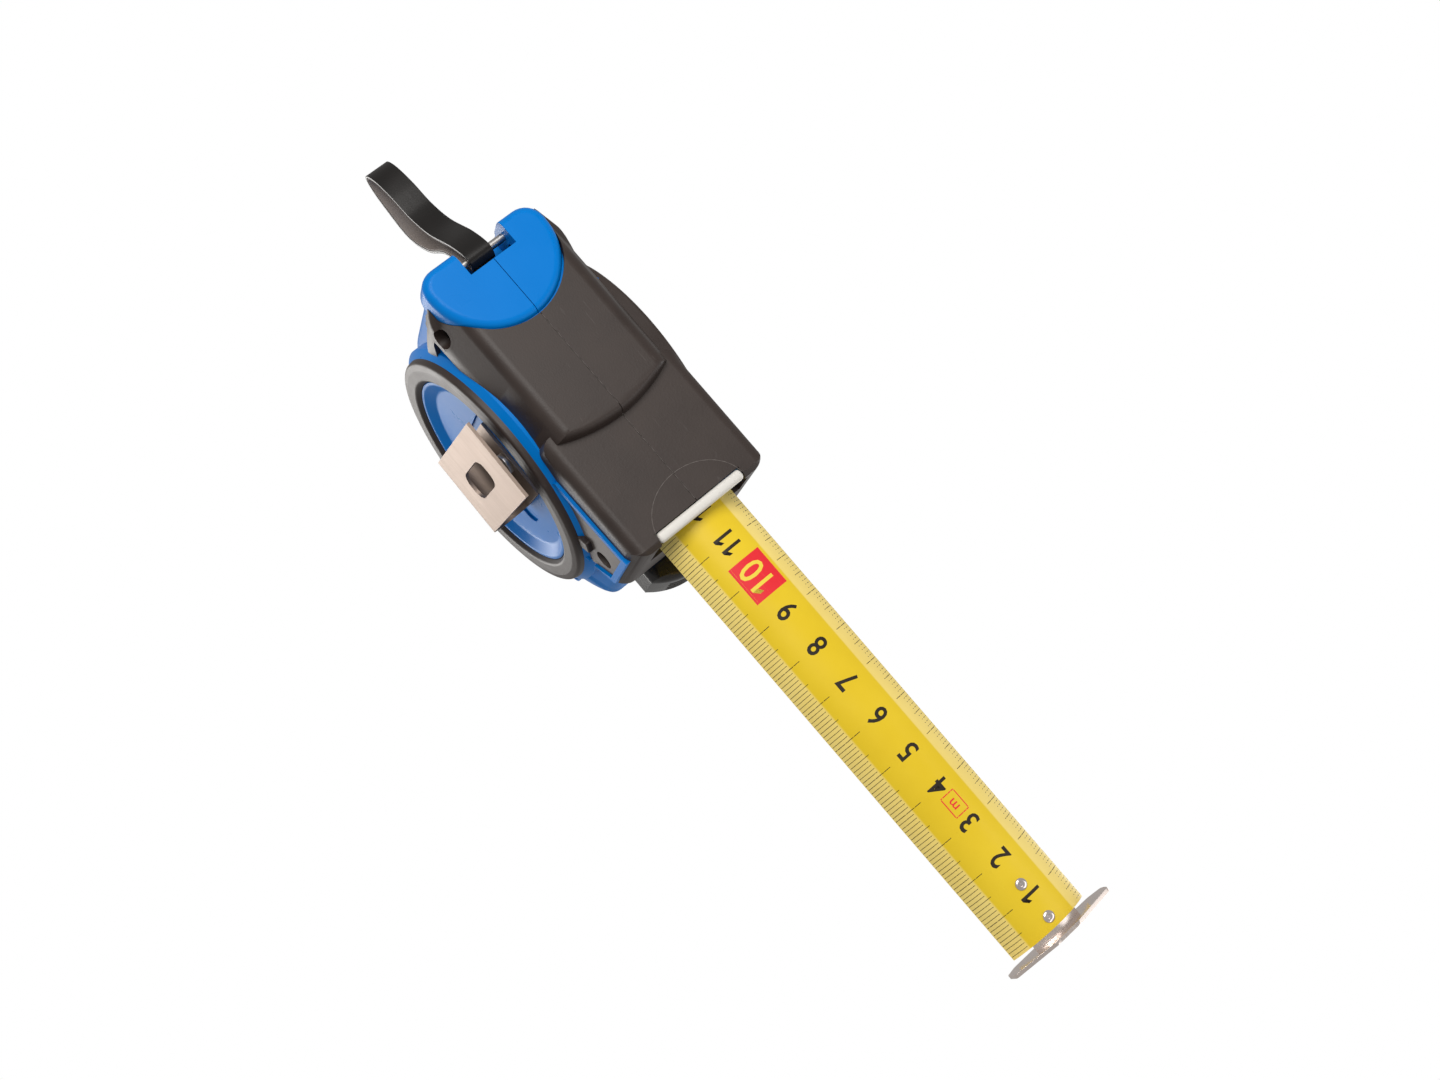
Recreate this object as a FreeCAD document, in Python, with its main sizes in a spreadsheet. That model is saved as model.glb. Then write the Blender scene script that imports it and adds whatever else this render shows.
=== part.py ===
"""Pocket tape measure: a two-part case with a sprung drum, a cupped blade, an end hook and a thumb lock.

Frame: millimetres, +Z up, +X from the drum towards the mouth, +Y towards the belt clip.
The origin lies on the base plane, straight below the drum's axis.
"""
import math
import os

import FreeCAD
import Part
import Sketcher
from FreeCAD import Placement, Rotation, Vector

doc = FreeCAD.newDocument("TapeMeasure")

# ---------------------------------------------------------------- driving sizes

SIZES = {
    "base_front": 9.5,        # the raised tongue of the base ends here
    "step_foot": 13.5,        # foot of the step up to the front block
    "block_floor": 3.0,       # underside of the front block above the base
    "front_face": 41.5,
    "lock_face": 39.5,        # flat front wall that the thumb lock slides on
    "rear_face": 38.0,
    "case_top": 78.0,
    "half_width": 19.0,
    "skin": 1.2,              # rubber overmould
    "wall": 1.6,              # hard shell under it
    "axis_height": 40.0,
    "disc_radius": 25.4,
    "ring_radius": 30.6,
    "ring_depth": 4.2,
    "band_radius": 32.5,      # edge of the rubber round the ring
    "rubber_top": 12.0,       # upper edge of the rubber on the sides
    "mouth_half": 13.4,
    "mouth_floor": 5.2,
    "mouth_roof": 14.8,
    "cap_radius": 16.5,       # blue tail cap on the base
    "cap_centre": 31.0,
    "cap_height": 11.0,
    "notch_half": 6.4,
    "notch_front": 30.2,
    "notch_roof": 11.5,
    "pin_back": 34.0,         # strap pin behind the drum's axis
    "pin_height": 4.6,
    "pin_radius": 1.0,
    "post_radius": 3.5,
    "hub_radius": 14.0,
    "hub_wall": 1.4,
    "flange_radius": 26.8,
    "flange_thick": 0.9,
    "coil_radius": 26.0,
    "blade_width": 25.0,
    "blade_thick": 0.3,
    "blade_chord": 21.4,
    "blade_sag": 5.5,
    "blade_edge": 12.0,       # height of the blade's two edges
    "hook_zero": 159.5,
    "hook_width": 29.0,
    "hook_thick": 0.9,
    "strap_width": 13.0,      # the hook's riveted strap
    "strap_back": 142.5,
    "rivet_front": 155.7,
    "rivet_back": 146.7,
    "rivet_radius": 0.9,
    "clip_width": 20.5,
    "clip_thick": 0.8,
    "clip_reach": 29.8,       # outer face at the bend
    "clip_lip": 27.4,         # outer face at the free end, which leans in towards the belt
    "clip_centre": 2.0,
    "clip_tilt": 5.5,
    "clip_top": 38.5,
    "clip_foot": 6.8,
    "screw_height": 30.0,
    "button_half": 11.0,
    "button_low": 32.3,
    "button_high": 45.3,
    "button_front": 48.0,
    "band_width": 6.2,        # wrist strap
    "band_thick": 1.0,
}

sheet = doc.addObject("Spreadsheet::Sheet", "Sizes")
for row, (alias, value) in enumerate(SIZES.items(), start=1):
    sheet.set(f"A{row}", alias)
    sheet.set(f"B{row}", str(value))
    sheet.setAlias(f"B{row}", alias)
doc.recompute()


def size(alias):
    """Reads one driving size back from the sheet."""
    return float(sheet.get(alias))


def worked(expression):
    """Works out an expression written with the sheet's aliases."""
    return float(sheet.evalExpression(expression))


PARTS = []
SIDE = {"left": 1, "right": -1}


def keep(obj, label):
    """Names a finished sub-part, so that it is checked and written at the end."""
    obj.Label = label
    PARTS.append(obj)
    return obj


# ---------------------------------------------------------------- ways of making a piece

def bind(obj, **expressions):
    """Binds properties to sheet expressions, with __ standing for the dot in a nested property."""
    for name, expression in expressions.items():
        obj.setExpression(name.replace("__", "."), expression)
    return obj


def block(name, x, y, z):
    """Part::Box between two bounds on each axis, each bound an expression."""
    obj = doc.addObject("Part::Box", name)
    bind(obj, Placement__Base__x=x[0], Placement__Base__y=y[0], Placement__Base__z=z[0])
    bind(obj, Length=f"({x[1]}) - ({x[0]})", Width=f"({y[1]}) - ({y[0]})", Height=f"({z[1]}) - ({z[0]})")
    return obj


def rod(name, x, z, y, radius):
    """Part::Cylinder along Y between two bounds."""
    obj = doc.addObject("Part::Cylinder", name)
    obj.Placement = Placement(Vector(0, 0, 0), Rotation(Vector(1, 0, 0), -90))
    bind(obj, Placement__Base__x=x, Placement__Base__y=y[0], Placement__Base__z=z)
    bind(obj, Radius=radius, Height=f"({y[1]}) - ({y[0]})")
    return obj


def cut(name, base, *tools):
    """Part::Cut of one object by one or more others."""
    for index, tool in enumerate(tools):
        step = doc.addObject("Part::Cut", f"{name}_{index}")
        step.Base, step.Tool = base, tool
        base = step
    return base


def fuse(name, *pieces):
    """Part::MultiFuse of several objects."""
    obj = doc.addObject("Part::MultiFuse", name)
    obj.Shapes = list(pieces)
    obj.Refine = True
    return obj


def sketched_body(name, points, plane="XY_Plane"):
    """Body with one closed polygon sketch whose corners are pairs of expressions."""
    body = doc.addObject("PartDesign::Body", name)
    sketch = body.newObject("Sketcher::SketchObject", f"{name}_sketch")
    origin_plane = [o for o in body.Origin.OriginFeatures if o.Role == plane][0]
    sketch.AttachmentSupport = [(origin_plane, "")]
    sketch.MapMode = "FlatFace"
    corners = [Vector(worked(u), worked(v), 0) for u, v in points]
    count = len(corners)
    for index, start in enumerate(corners):
        sketch.addGeometry(Part.LineSegment(start, corners[(index + 1) % count]), False)
    for index in range(count):
        sketch.addConstraint(Sketcher.Constraint("Coincident", index, 2, (index + 1) % count, 1))
    for index, (u, v) in enumerate(points):
        across, up = ("DistanceX", u, corners[index].x), ("DistanceY", v, corners[index].y)
        for kind, expression, value in (across, up):
            number = sketch.addConstraint(Sketcher.Constraint(kind, -1, 1, index, 1, value))
            sketch.setExpression(f"Constraints[{number}]", expression)
    return body, sketch


def turned_body(name, points):
    """Body turned about Y: each corner is (radius, distance along Y)."""
    body, sketch = sketched_body(name, points)
    turned = body.newObject("PartDesign::Revolution", f"{name}_turned")
    turned.Profile = sketch
    turned.ReferenceAxis = (sketch, ["V_Axis"])
    turned.Angle = 360
    body.Tip = turned
    return body


def padded_body(name, points, length, plane="XY_Plane"):
    """Body padded symmetrically from its sketch."""
    body, sketch = sketched_body(name, points, plane)
    pad = body.newObject("PartDesign::Pad", f"{name}_pad")
    pad.Profile = sketch
    pad.Midplane = True
    pad.setExpression("Length", length)
    body.Tip = pad
    return body


def solid_feature(name, shape):
    """Part::Feature that holds a shape made with Part's own functions."""
    obj = doc.addObject("Part::Feature", name)
    obj.Shape = shape
    return obj


# ---------------------------------------------------------------- case outline

def xz(x, z, y=0.0):
    return Vector(x, y, z)


def arc(start, middle, end):
    return Part.Arc(xz(*start), xz(*middle), xz(*end)).toShape()


def line(start, end):
    return Part.LineSegment(xz(*start), xz(*end)).toShape()


def case_outline():
    """Side outline of the case: flat base, step, front block, lock wall, round crown and back."""
    base_rear = (-35.0, 0)
    base_front = (size("base_front"), 0)
    step = (size("step_foot"), size("block_floor"))
    lip = (size("front_face") - 1.2, size("block_floor"))
    lip_front = (size("front_face"), size("block_floor") + 1.4)
    nose = (size("front_face"), 28.0)
    lock_low = (size("lock_face"), 32.0)
    lock_high = (size("lock_face"), 57.5)
    crown = (0.0, size("case_top"))
    back = (-size("rear_face"), size("axis_height"))
    tail = (-37.2, 3.0)
    edges = [
        line(base_rear, base_front), line(base_front, step), line(step, lip), line(lip, lip_front),
        line(lip_front, nose), line(nose, lock_low), line(lock_low, lock_high),
        arc(lock_high, (27.5, 71.2), crown), arc(crown, (-26.9, 66.9), back),
        line(back, tail), line(tail, base_rear),
    ]
    return Part.Wire(edges)


OUTLINE = case_outline()


def side_slab(inset, near, far):
    """The case outline, drawn in by inset, as a slab between two values of Y."""
    wire = OUTLINE.makeOffset2D(-inset) if inset else OUTLINE
    slab = Part.Face(wire).extrude(Vector(0, far - near, 0))
    slab.translate(Vector(0, near, 0))
    return slab


def bar(x, y, z):
    """Plain box shape between bounds."""
    return Part.makeBox(x[1] - x[0], y[1] - y[0], z[1] - z[0], Vector(x[0], y[0], z[0]))


def drum(radius, near, far, x=0.0, z=None):
    """Plain cylinder shape along Y."""
    height = size("axis_height") if z is None else z
    return Part.makeCylinder(radius, far - near, Vector(x, near, height), Vector(0, 1, 0))


def half(shape, side):
    """Keeps the half of a shape on one side of the seam."""
    far = 40.0
    return shape.common(bar((-100, 100), (0, far) if side > 0 else (-far, 0), (-20, 120)))


SKIN, WALL = size("skin"), size("wall")
SHELL_SIDE = size("half_width") - SKIN
CAVITY_SIDE = SHELL_SIDE - WALL
MOUTH_WAY = bar((12.0, 60.0), (-size("mouth_half"), size("mouth_half")),
                (size("mouth_floor"), size("mouth_roof")))
STRIP_SEAT = bar((38.6, 41.6), (-12.3, 12.3), (2.5, size("mouth_floor")))

# Places of the four case screws, as (x, z).
SCREW_PLACES = [(34.0, 23.0), (-24.5, 8.5), (-23.0, 64.0), (26.5, 62.5)]
SCREW_SHANK, SCREW_HEAD = 1.2, 2.3
HEAD_FACE = 15.0


def cap_prism():
    """Tail cap on the base: round towards the mouth, square at the back, with the strap's notch."""
    centre, radius, top = -size("cap_centre"), size("cap_radius"), size("cap_height")
    round_front = Part.makeCylinder(radius, top + 1, Vector(centre, 0, -1))
    return round_front.fuse(bar((-45, centre), (-radius, radius), (-1, top)))


def notch_shape():
    half_width = size("notch_half")
    return bar((-60, -size("notch_front")), (-half_width, half_width), (-5, size("notch_roof")))


CAP_PRISM, NOTCH = cap_prism(), notch_shape()
CAP = CAP_PRISM.common(side_slab(0, -size("cap_radius"), size("cap_radius")))
NOTCH_WALLS = bar((-60, -size("notch_front") + WALL), (-size("notch_half") - WALL, size("notch_half") + WALL),
                  (-5, size("notch_roof") + WALL)).common(side_slab(SKIN, -SHELL_SIDE, SHELL_SIDE))


def shell_half(side):
    """Hard case half: outer wall, tail cap, screw bosses and the seat of the centre post."""
    hull = side_slab(SKIN, -SHELL_SIDE, SHELL_SIDE)
    hollow = side_slab(SKIN + WALL, -CAVITY_SIDE, CAVITY_SIDE)
    shell = hull.cut(hollow)
    bosses = [drum(3.0, -CAVITY_SIDE - 0.5, CAVITY_SIDE + 0.5, x, z) for x, z in SCREW_PLACES]
    seats = [drum(size("post_radius") + 2.0, CAVITY_SIDE - 0.4, SHELL_SIDE),
             drum(size("post_radius") + 2.0, -SHELL_SIDE, -CAVITY_SIDE + 0.4)]
    shell = shell.fuse([CAP, NOTCH_WALLS] + bosses + seats)
    shell = shell.cut([MOUTH_WAY, STRIP_SEAT, NOTCH, drum(size("post_radius") + 0.02, -16.6, 16.6)])
    for x, z in SCREW_PLACES:
        shank_way = drum(SCREW_SHANK + 0.05, -13.0, 30, x, z)
        head_way = drum(SCREW_HEAD + 0.1, HEAD_FACE, 30, x, z)
        shell = shell.cut([shank_way, head_way])
    pin_hole = Part.makeCylinder(size("pin_radius") + 0.02, 18.0,
                                 Vector(-size("pin_back"), -9.0, size("pin_height")), Vector(0, 1, 0))
    lock_slot = bar((30, 45), (-3.8, 3.8), (38.7, 50.4))
    return half(shell.cut([pin_hole, lock_slot]).removeSplitter(), side)


def grip_half(side):
    """Rubber overmould half: the base, the front block and the lower sides, clear of cap and ring."""
    skin = side_slab(0, -size("half_width"), size("half_width")).cut(side_slab(SKIN, -SHELL_SIDE, SHELL_SIDE))
    low = bar((-60, 60), (-30, 30), (-5, size("rubber_top"))).fuse(bar((39.0, 60), (-30, 30), (0, 28.0)))
    skin = skin.common(low.removeSplitter())
    skin = skin.cut([drum(size("band_radius"), SHELL_SIDE, 30), drum(size("band_radius"), -30, -SHELL_SIDE)])
    skin = skin.cut([CAP_PRISM, NOTCH, MOUTH_WAY, STRIP_SEAT])
    skin = skin.cut(bar((-60, -size("cap_centre") - 2.0), (-30, 30), (-5, 30)))
    x, z = SCREW_PLACES[1]
    skin = skin.cut(drum(SCREW_HEAD + 0.1, HEAD_FACE, 30, x, z))
    return half(skin, side)


for word, side in SIDE.items():
    keep(solid_feature(f"Shell_{word}", shell_half(side)), f"shell_{word}")
    keep(solid_feature(f"Grip_{word}", grip_half(side)), f"grip_{word}")


def inlay_half(side):
    """Grippy corner panel beside the mouth, bounded by the ring's band and the lower rubber."""
    corners = [(15.5, 13.2), (38.0, 13.2), (38.0, 26.0), (31.5, 31.0), (24.0, 31.0)]
    wire = Part.makePolygon([xz(x, z) for x, z in corners + corners[:1]])
    plate = Part.Face(wire).extrude(Vector(0, 1.0, 0))
    plate.translate(Vector(0, SHELL_SIDE, 0))
    x, z = SCREW_PLACES[0]
    plate = plate.cut([drum(30.6, 0, 30), drum(SCREW_HEAD + 0.1, 0, 30, x, z)])
    return plate if side > 0 else plate.mirror(Vector(0, 0, 0), Vector(0, 1, 0))


for word, side in SIDE.items():
    keep(solid_feature(f"Inlay_{word}", inlay_half(side)), f"inlay_{word}")


def crown_pad():
    """Rubber pad along the crown, where the palm rests."""
    skin = side_slab(0, -12.0, 12.0).cut(side_slab(SKIN, -30, 30))
    return skin.common(bar((-26.0, 27.0), (-30, 30), (55, 100)))


keep(solid_feature("Crown_pad", crown_pad()), "crown_pad")

# ---------------------------------------------------------------- rings and discs on the sides

for word, side in SIDE.items():
    turn = Rotation(Vector(0, 0, 1), 0 if side > 0 else 180)
    start = ("" if side > 0 else "-") + "(Sizes.half_width - Sizes.skin)"
    ring = turned_body(f"Ring_{word}", [
        ("Sizes.disc_radius", "0"), ("Sizes.ring_radius", "0"),
        ("Sizes.ring_radius", "Sizes.ring_depth - 1.1"), ("Sizes.ring_radius - 1", "Sizes.ring_depth"),
        ("Sizes.disc_radius + 0.8", "Sizes.ring_depth"), ("Sizes.disc_radius", "Sizes.ring_depth - 0.6")])
    disc = turned_body(f"Disc_{word}", [
        ("0", "0"), ("Sizes.disc_radius - 0.02", "0"), ("Sizes.disc_radius - 0.02", "3.2"),
        ("Sizes.disc_radius - 0.8", "3.2"), ("Sizes.disc_radius - 4", "0.9"), ("0", "0.9")])
    for piece, label in ((ring, "ring"), (disc, "disc")):
        piece.Placement = Placement(Vector(0, 0, 0), turn)
        bind(piece, Placement__Base__y=start, Placement__Base__z="Sizes.axis_height")
        if label == "ring" or side < 0:
            keep(piece, f"{label}_{word}")

# The left disc has a clearance hole for the belt clip's screw.
doc.recompute()
disc_left = cut("Disc_left_drilled", doc.getObject("Disc_left"),
                rod("Disc_hole", "Sizes.clip_centre", "Sizes.screw_height", ("10", "25"), "1.5"))
keep(disc_left, "disc_left")

# ---------------------------------------------------------------- belt clip and its screw

LEG_FACE = "Sizes.half_width - Sizes.skin + 0.9"
WINDOW_HALF, WINDOW_LOW, WINDOW_HIGH = 3.5, 19.4, 27.6


def clip_strip():
    """Strip bent back on itself: a short leg in the disc's seat and a long leg that leans in."""
    face, thick, top = worked(LEG_FACE), size("clip_thick"), size("clip_top")
    reach, lip, foot = size("clip_reach"), size("clip_lip"), size("clip_foot")
    low, centre = size("screw_height") - 5, size("clip_centre")
    left, bend = centre - size("clip_width") / 2, (reach - face) / 2

    def at(y, z):
        return Vector(left, y, z)

    crown, hollow = at(face + bend, top + bend), at(face + bend, top + bend - thick)
    edges = [Part.LineSegment(at(face, low), at(face, top)),
             Part.Arc(at(face, top), crown, at(reach, top)),
             Part.LineSegment(at(reach, top), at(lip, foot)),
             Part.LineSegment(at(lip, foot), at(lip - thick, foot)),
             Part.LineSegment(at(lip - thick, foot), at(reach - thick, top)),
             Part.Arc(at(reach - thick, top), hollow, at(face + thick, top)),
             Part.LineSegment(at(face + thick, top), at(face + thick, low)),
             Part.LineSegment(at(face + thick, low), at(face, low))]
    strip = Part.Face(Part.Wire([edge.toShape() for edge in edges])).extrude(Vector(size("clip_width"), 0, 0))
    window = [drum(WINDOW_HALF, 22, 42, centre, z) for z in (WINDOW_LOW, WINDOW_HIGH)]
    window.append(bar((centre - WINDOW_HALF, centre + WINDOW_HALF), (22, 42), (WINDOW_LOW, WINDOW_HIGH)))
    screw_hole = drum(1.5, 10, 22, centre, size("screw_height"))
    return strip.cut(window + [screw_hole]).removeSplitter()


belt_clip = solid_feature("Belt_clip", clip_strip())
keep(belt_clip, "belt_clip")

clip_shank = rod("Clip_shank", "Sizes.clip_centre", "Sizes.screw_height",
                 ("Sizes.half_width - Sizes.skin", f"{LEG_FACE} + Sizes.clip_thick"), "1.45")
clip_head = rod("Clip_head", "Sizes.clip_centre", "Sizes.screw_height",
                (f"{LEG_FACE} + Sizes.clip_thick", f"{LEG_FACE} + Sizes.clip_thick + 1.1"), "2.6")
keep(fuse("Clip_screw", clip_shank, clip_head), "clip_screw")

# ---------------------------------------------------------------- case screws

screws = []
for number, (x, z) in enumerate(SCREW_PLACES):
    shank = rod(f"Shank_{number}", str(x), str(z), ("-12.5", str(HEAD_FACE)), str(SCREW_SHANK))
    head = rod(f"Head_{number}", str(x), str(z), (str(HEAD_FACE), str(HEAD_FACE + 1.6)), str(SCREW_HEAD))
    screws.append(fuse(f"Screw_{number}", shank, head))
group = doc.addObject("Part::Compound", "Case_screws")
group.Links = screws
keep(group, "case_screws")

# ---------------------------------------------------------------- drum, spring, tape coil and centre post

keep(rod("Centre_post", "0", "Sizes.axis_height", ("-16.5", "16.5"), "Sizes.post_radius"), "centre_post")

drum_body = turned_body("Drum", [
    ("Sizes.post_radius + 0.08", "0"), ("Sizes.flange_radius", "0"),
    ("Sizes.flange_radius", "Sizes.flange_thick"), ("Sizes.hub_radius", "Sizes.flange_thick"),
    ("Sizes.hub_radius", "Sizes.flange_thick + Sizes.blade_width + 0.6"),
    ("Sizes.flange_radius", "Sizes.flange_thick + Sizes.blade_width + 0.6"),
    ("Sizes.flange_radius", "2 * Sizes.flange_thick + Sizes.blade_width + 0.6"),
    ("Sizes.hub_radius - Sizes.hub_wall", "2 * Sizes.flange_thick + Sizes.blade_width + 0.6"),
    ("Sizes.hub_radius - Sizes.hub_wall", "Sizes.flange_thick + 0.6"),
    ("Sizes.post_radius + 0.08", "Sizes.flange_thick + 0.6")])
bind(drum_body, Placement__Base__y="-(Sizes.flange_thick + Sizes.blade_width / 2 + 0.3)",
     Placement__Base__z="Sizes.axis_height")
keep(drum_body, "drum")


def tube(name, inner, outer, y):
    """Tube about the drum's axis, made as one rod cut by another."""
    return cut(name, rod(f"{name}_out", "0", "Sizes.axis_height", y, outer),
               rod(f"{name}_in", "0", "Sizes.axis_height", (f"{y[0]} - 1", f"{y[1]} + 1"), inner))


keep(tube("Tape_coil", "Sizes.hub_radius + 0.02", "Sizes.coil_radius",
          ("-Sizes.blade_width / 2", "Sizes.blade_width / 2")), "tape_coil")
keep(tube("Mainspring", "Sizes.post_radius + 1.2", "Sizes.hub_radius - Sizes.hub_wall - 0.6",
          ("-10.6", "11.4")), "mainspring")
lid = tube("Drum_lid", "Sizes.post_radius + 0.08", "Sizes.hub_radius - Sizes.hub_wall - 0.04",
           ("12.2", "13.6"))
keep(lid, "drum_lid")
for word, y in (("left", ("14.2", "15.7")), ("right", ("-15.7", "-14.2"))):
    keep(tube(f"Washer_{word}", "Sizes.post_radius + 0.08", "6.5", y), f"washer_{word}")

# ---------------------------------------------------------------- blade, hook and rivets

CHORD, SAG, THICK = size("blade_chord"), size("blade_sag"), size("blade_thick")
BLADE_RADIUS = (CHORD ** 2 / 4 + SAG ** 2) / (2 * SAG)
BLADE_CENTRE = size("blade_edge") - SAG + BLADE_RADIUS


def cupped(half_chord, radius, centre_z, thick, x):
    """Cross-section of a cupped strip: two arcs about one centre and two short ends."""
    reach = math.asin(half_chord / radius)

    def at(distance, angle):
        return Vector(x, distance * math.sin(angle), centre_z - distance * math.cos(angle))

    outer = Part.Arc(at(radius, -reach), at(radius, 0), at(radius, reach)).toShape()
    inner = Part.Arc(at(radius - thick, reach), at(radius - thick, 0), at(radius - thick, -reach)).toShape()
    ends = [Part.LineSegment(at(radius, a), at(radius - thick, a)).toShape() for a in (reach, -reach)]
    return Part.Wire([outer, ends[0], inner, ends[1]])


def tape_blade():
    """Straight stretch of the blade, cupped as a trough, with the lead that flattens onto the coil."""
    flat_radius = 400.0
    start, formed, end = 1.0, 15.0, size("hook_zero") - 1.2
    coil_low = size("axis_height") - size("coil_radius") - 0.35
    cupped_end = cupped(CHORD / 2, BLADE_RADIUS, BLADE_CENTRE, THICK, formed)
    straight = Part.Face(cupped_end).extrude(Vector(end - formed, 0, 0))
    flat_end = cupped(size("blade_width") / 2 - 0.3, flat_radius, coil_low + flat_radius - 0.3, THICK, start)
    lead = Part.makeLoft([flat_end, cupped_end], True, False)
    blade = straight.fuse(lead)
    for x in (size("rivet_front"), size("rivet_back")):
        blade = blade.cut(Part.makeCylinder(size("rivet_radius") + 0.02, 20, Vector(x, 0, 0)))
    return blade.removeSplitter()


keep(solid_feature("Tape_blade", tape_blade()), "tape_blade")

GAP = 0.12
HOOK_INNER = BLADE_RADIUS - THICK - GAP


def end_hook():
    """Stamped hook: a cupped strap on the blade's hollow side and a flange turned down across its end."""
    zero, thick = size("hook_zero"), size("hook_thick")
    strap_end = cupped(size("strap_width") / 2, HOOK_INNER, BLADE_CENTRE, 0.8, size("strap_back"))
    strap = Part.Face(strap_end).extrude(Vector(zero - size("strap_back") + 0.1, 0, 0))
    wing, tip = size("hook_width") / 2, 3.5
    edge = size("blade_edge")
    outline = [(-wing, edge - 5.7), (-tip, edge - 8.8), (tip, edge - 8.8), (wing, edge - 5.7),
               (wing, edge - 1.5), (wing - 3.0, edge + 0.8), (-wing + 3.0, edge + 0.8), (-wing, edge - 1.5)]
    wire = Part.makePolygon([Vector(zero, y, z) for y, z in outline + outline[:1]])
    flange = Part.Face(wire).extrude(Vector(thick, 0, 0))
    hook = strap.fuse(flange)
    for x in (size("rivet_front"), size("rivet_back")):
        hook = hook.cut(bar((x - 1.9, x + 1.9), (-1.0, 1.0), (0, 12)))
    return hook.removeSplitter()


keep(solid_feature("End_hook", end_hook()), "end_hook")


def rivets():
    """Two rivets: a head under the blade, a shank through it and a head above the hook's strap."""
    low = BLADE_CENTRE - BLADE_RADIUS
    pieces = []
    for x in (size("rivet_front"), size("rivet_back")):
        head = Part.makeCylinder(1.35, 0.45, Vector(x, 0, low - 0.47))
        shank = Part.makeCylinder(size("rivet_radius"), 2.0, Vector(x, 0, low - 0.1))
        top = Part.makeCylinder(1.8, 0.5, Vector(x, 0, low + THICK + GAP + 0.8 + 0.2))
        pieces.append(head.fuse([shank, top]).removeSplitter())
    return Part.makeCompound(pieces)


keep(solid_feature("Hook_rivets", rivets()), "hook_rivets")

# ---------------------------------------------------------------- mouth

keep(block("Mouth_strip", ("38.7", "41.3"), ("-12.2", "12.2"), ("Sizes.block_floor - 0.2", "Sizes.mouth_floor")),
     "mouth_strip")
keep(block("Mouth_bumper", ("35.4", "38.6"), ("-12", "12"), ("Sizes.mouth_roof + 0.1", "19")), "mouth_bumper")

# ---------------------------------------------------------------- thumb lock, its lever and brake pad

button = padded_body("Button", [
    ("Sizes.lock_face + 0.15", "Sizes.button_low"), ("Sizes.button_front - 2", "Sizes.button_low"),
    ("Sizes.button_front", "Sizes.button_low + 2.5"), ("Sizes.button_front - 0.6", "Sizes.button_high - 4"),
    ("Sizes.lock_face + 0.15", "Sizes.button_high")], "2 * Sizes.button_half", "XZ_Plane")
keep(button, "thumb_lock")
lever = fuse("Lever", block("Lever_stem", ("27.8", "Sizes.lock_face + 0.15"), ("-3.5", "3.5"), ("39.2", "45")),
             block("Lever_post", ("27.8", "30.4"), ("-4.5", "4.5"), ("10", "45")),
             block("Lever_arm", ("19.2", "30.4"), ("-4.5", "4.5"), ("10", "12.4")))
keep(lever, "lock_lever")
keep(block("Brake_pad", ("19.2", "25.2"), ("-3.2", "3.2"), ("7.3", "10")), "brake_pad")
keep(block("Detent_spring", ("30.6", "31.2"), ("5.2", "8.8"), ("30", "47")), "detent_spring")

# ---------------------------------------------------------------- wrist strap and its pin

keep(rod("Strap_pin", "-Sizes.pin_back", "Sizes.pin_height", ("-8.8", "8.8"), "Sizes.pin_radius"), "strap_pin")


def strap_loop(grow):
    """Side outline of the loop, drawn out by grow from its middle line."""
    pin_x, pin_z, wrap = -size("pin_back"), size("pin_height"), size("pin_radius") + 1.05
    low = [(pin_x + wrap, pin_z), (pin_x, pin_z - wrap), (-39.0, 5.2), (-46.0, 11.6), (-52.5, 14.4),
           (-59.0, 15.0), (-64.6, 16.6)]
    high = [(-67.4, 19.4), (-65.3, 21.8), (-59.5, 23.6), (-52.0, 24.4), (-45.6, 19.8), (-40.6, 11.4),
            (pin_x, pin_z + wrap)]
    middle = Part.BSplineCurve()
    middle.interpolate([xz(x, z) for x, z in low + high], PeriodicFlag=True)
    count = 48
    moved = []
    for index in range(count):
        place = middle.FirstParameter + (middle.LastParameter - middle.FirstParameter) * index / count
        along = middle.tangent(place)[0]
        moved.append(middle.value(place) + along.cross(Vector(0, 1, 0)) * grow)
    outline = Part.BSplineCurve()
    outline.interpolate(moved, PeriodicFlag=True)
    return Part.Wire(outline.toShape())


def wrist_strap():
    """Flat moulded band, closed in a loop round the pin."""
    thick, width = size("band_thick"), size("band_width")
    outer, inner = strap_loop(thick / 2), strap_loop(-thick / 2)
    band = Part.Face(outer).extrude(Vector(0, width, 0)).cut(Part.Face(inner).extrude(Vector(0, width, 0)))
    band.translate(Vector(0, -width / 2 + 1.0, 0))
    return band


keep(solid_feature("Wrist_strap", wrist_strap()), "wrist_strap")

# ---------------------------------------------------------------- check and write

doc.recompute()
for obj in (belt_clip, doc.getObject("Clip_screw")):
    tilt = Rotation(Vector(0, 1, 0), -size("clip_tilt"))
    obj.Placement = Placement(Vector(0, 0, 0), tilt, Vector(size("clip_centre"), 0, size("screw_height")))
doc.recompute()
for obj in doc.Objects:
    if "Invalid" in obj.State or "Error" in obj.State:
        raise RuntimeError(f"{obj.Name} failed: {obj.State}")
os.makedirs("parts", exist_ok=True)
for obj in PARTS:
    shape = obj.Shape
    if shape.isNull() or not shape.isValid() or not shape.Solids:
        raise RuntimeError(f"{obj.Label} has no valid solid")
    shape.exportStep(f"parts/{obj.Label}.step")
    print(f"{obj.Label:16s} {len(shape.Solids)} solid(s) {shape.Volume:10.1f} mm3")
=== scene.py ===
"""Pocket tape measure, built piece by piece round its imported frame. Metres, +Z up, +X towards the hook."""
import math

import bmesh
import bpy
from mathutils import Matrix, Vector


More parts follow.
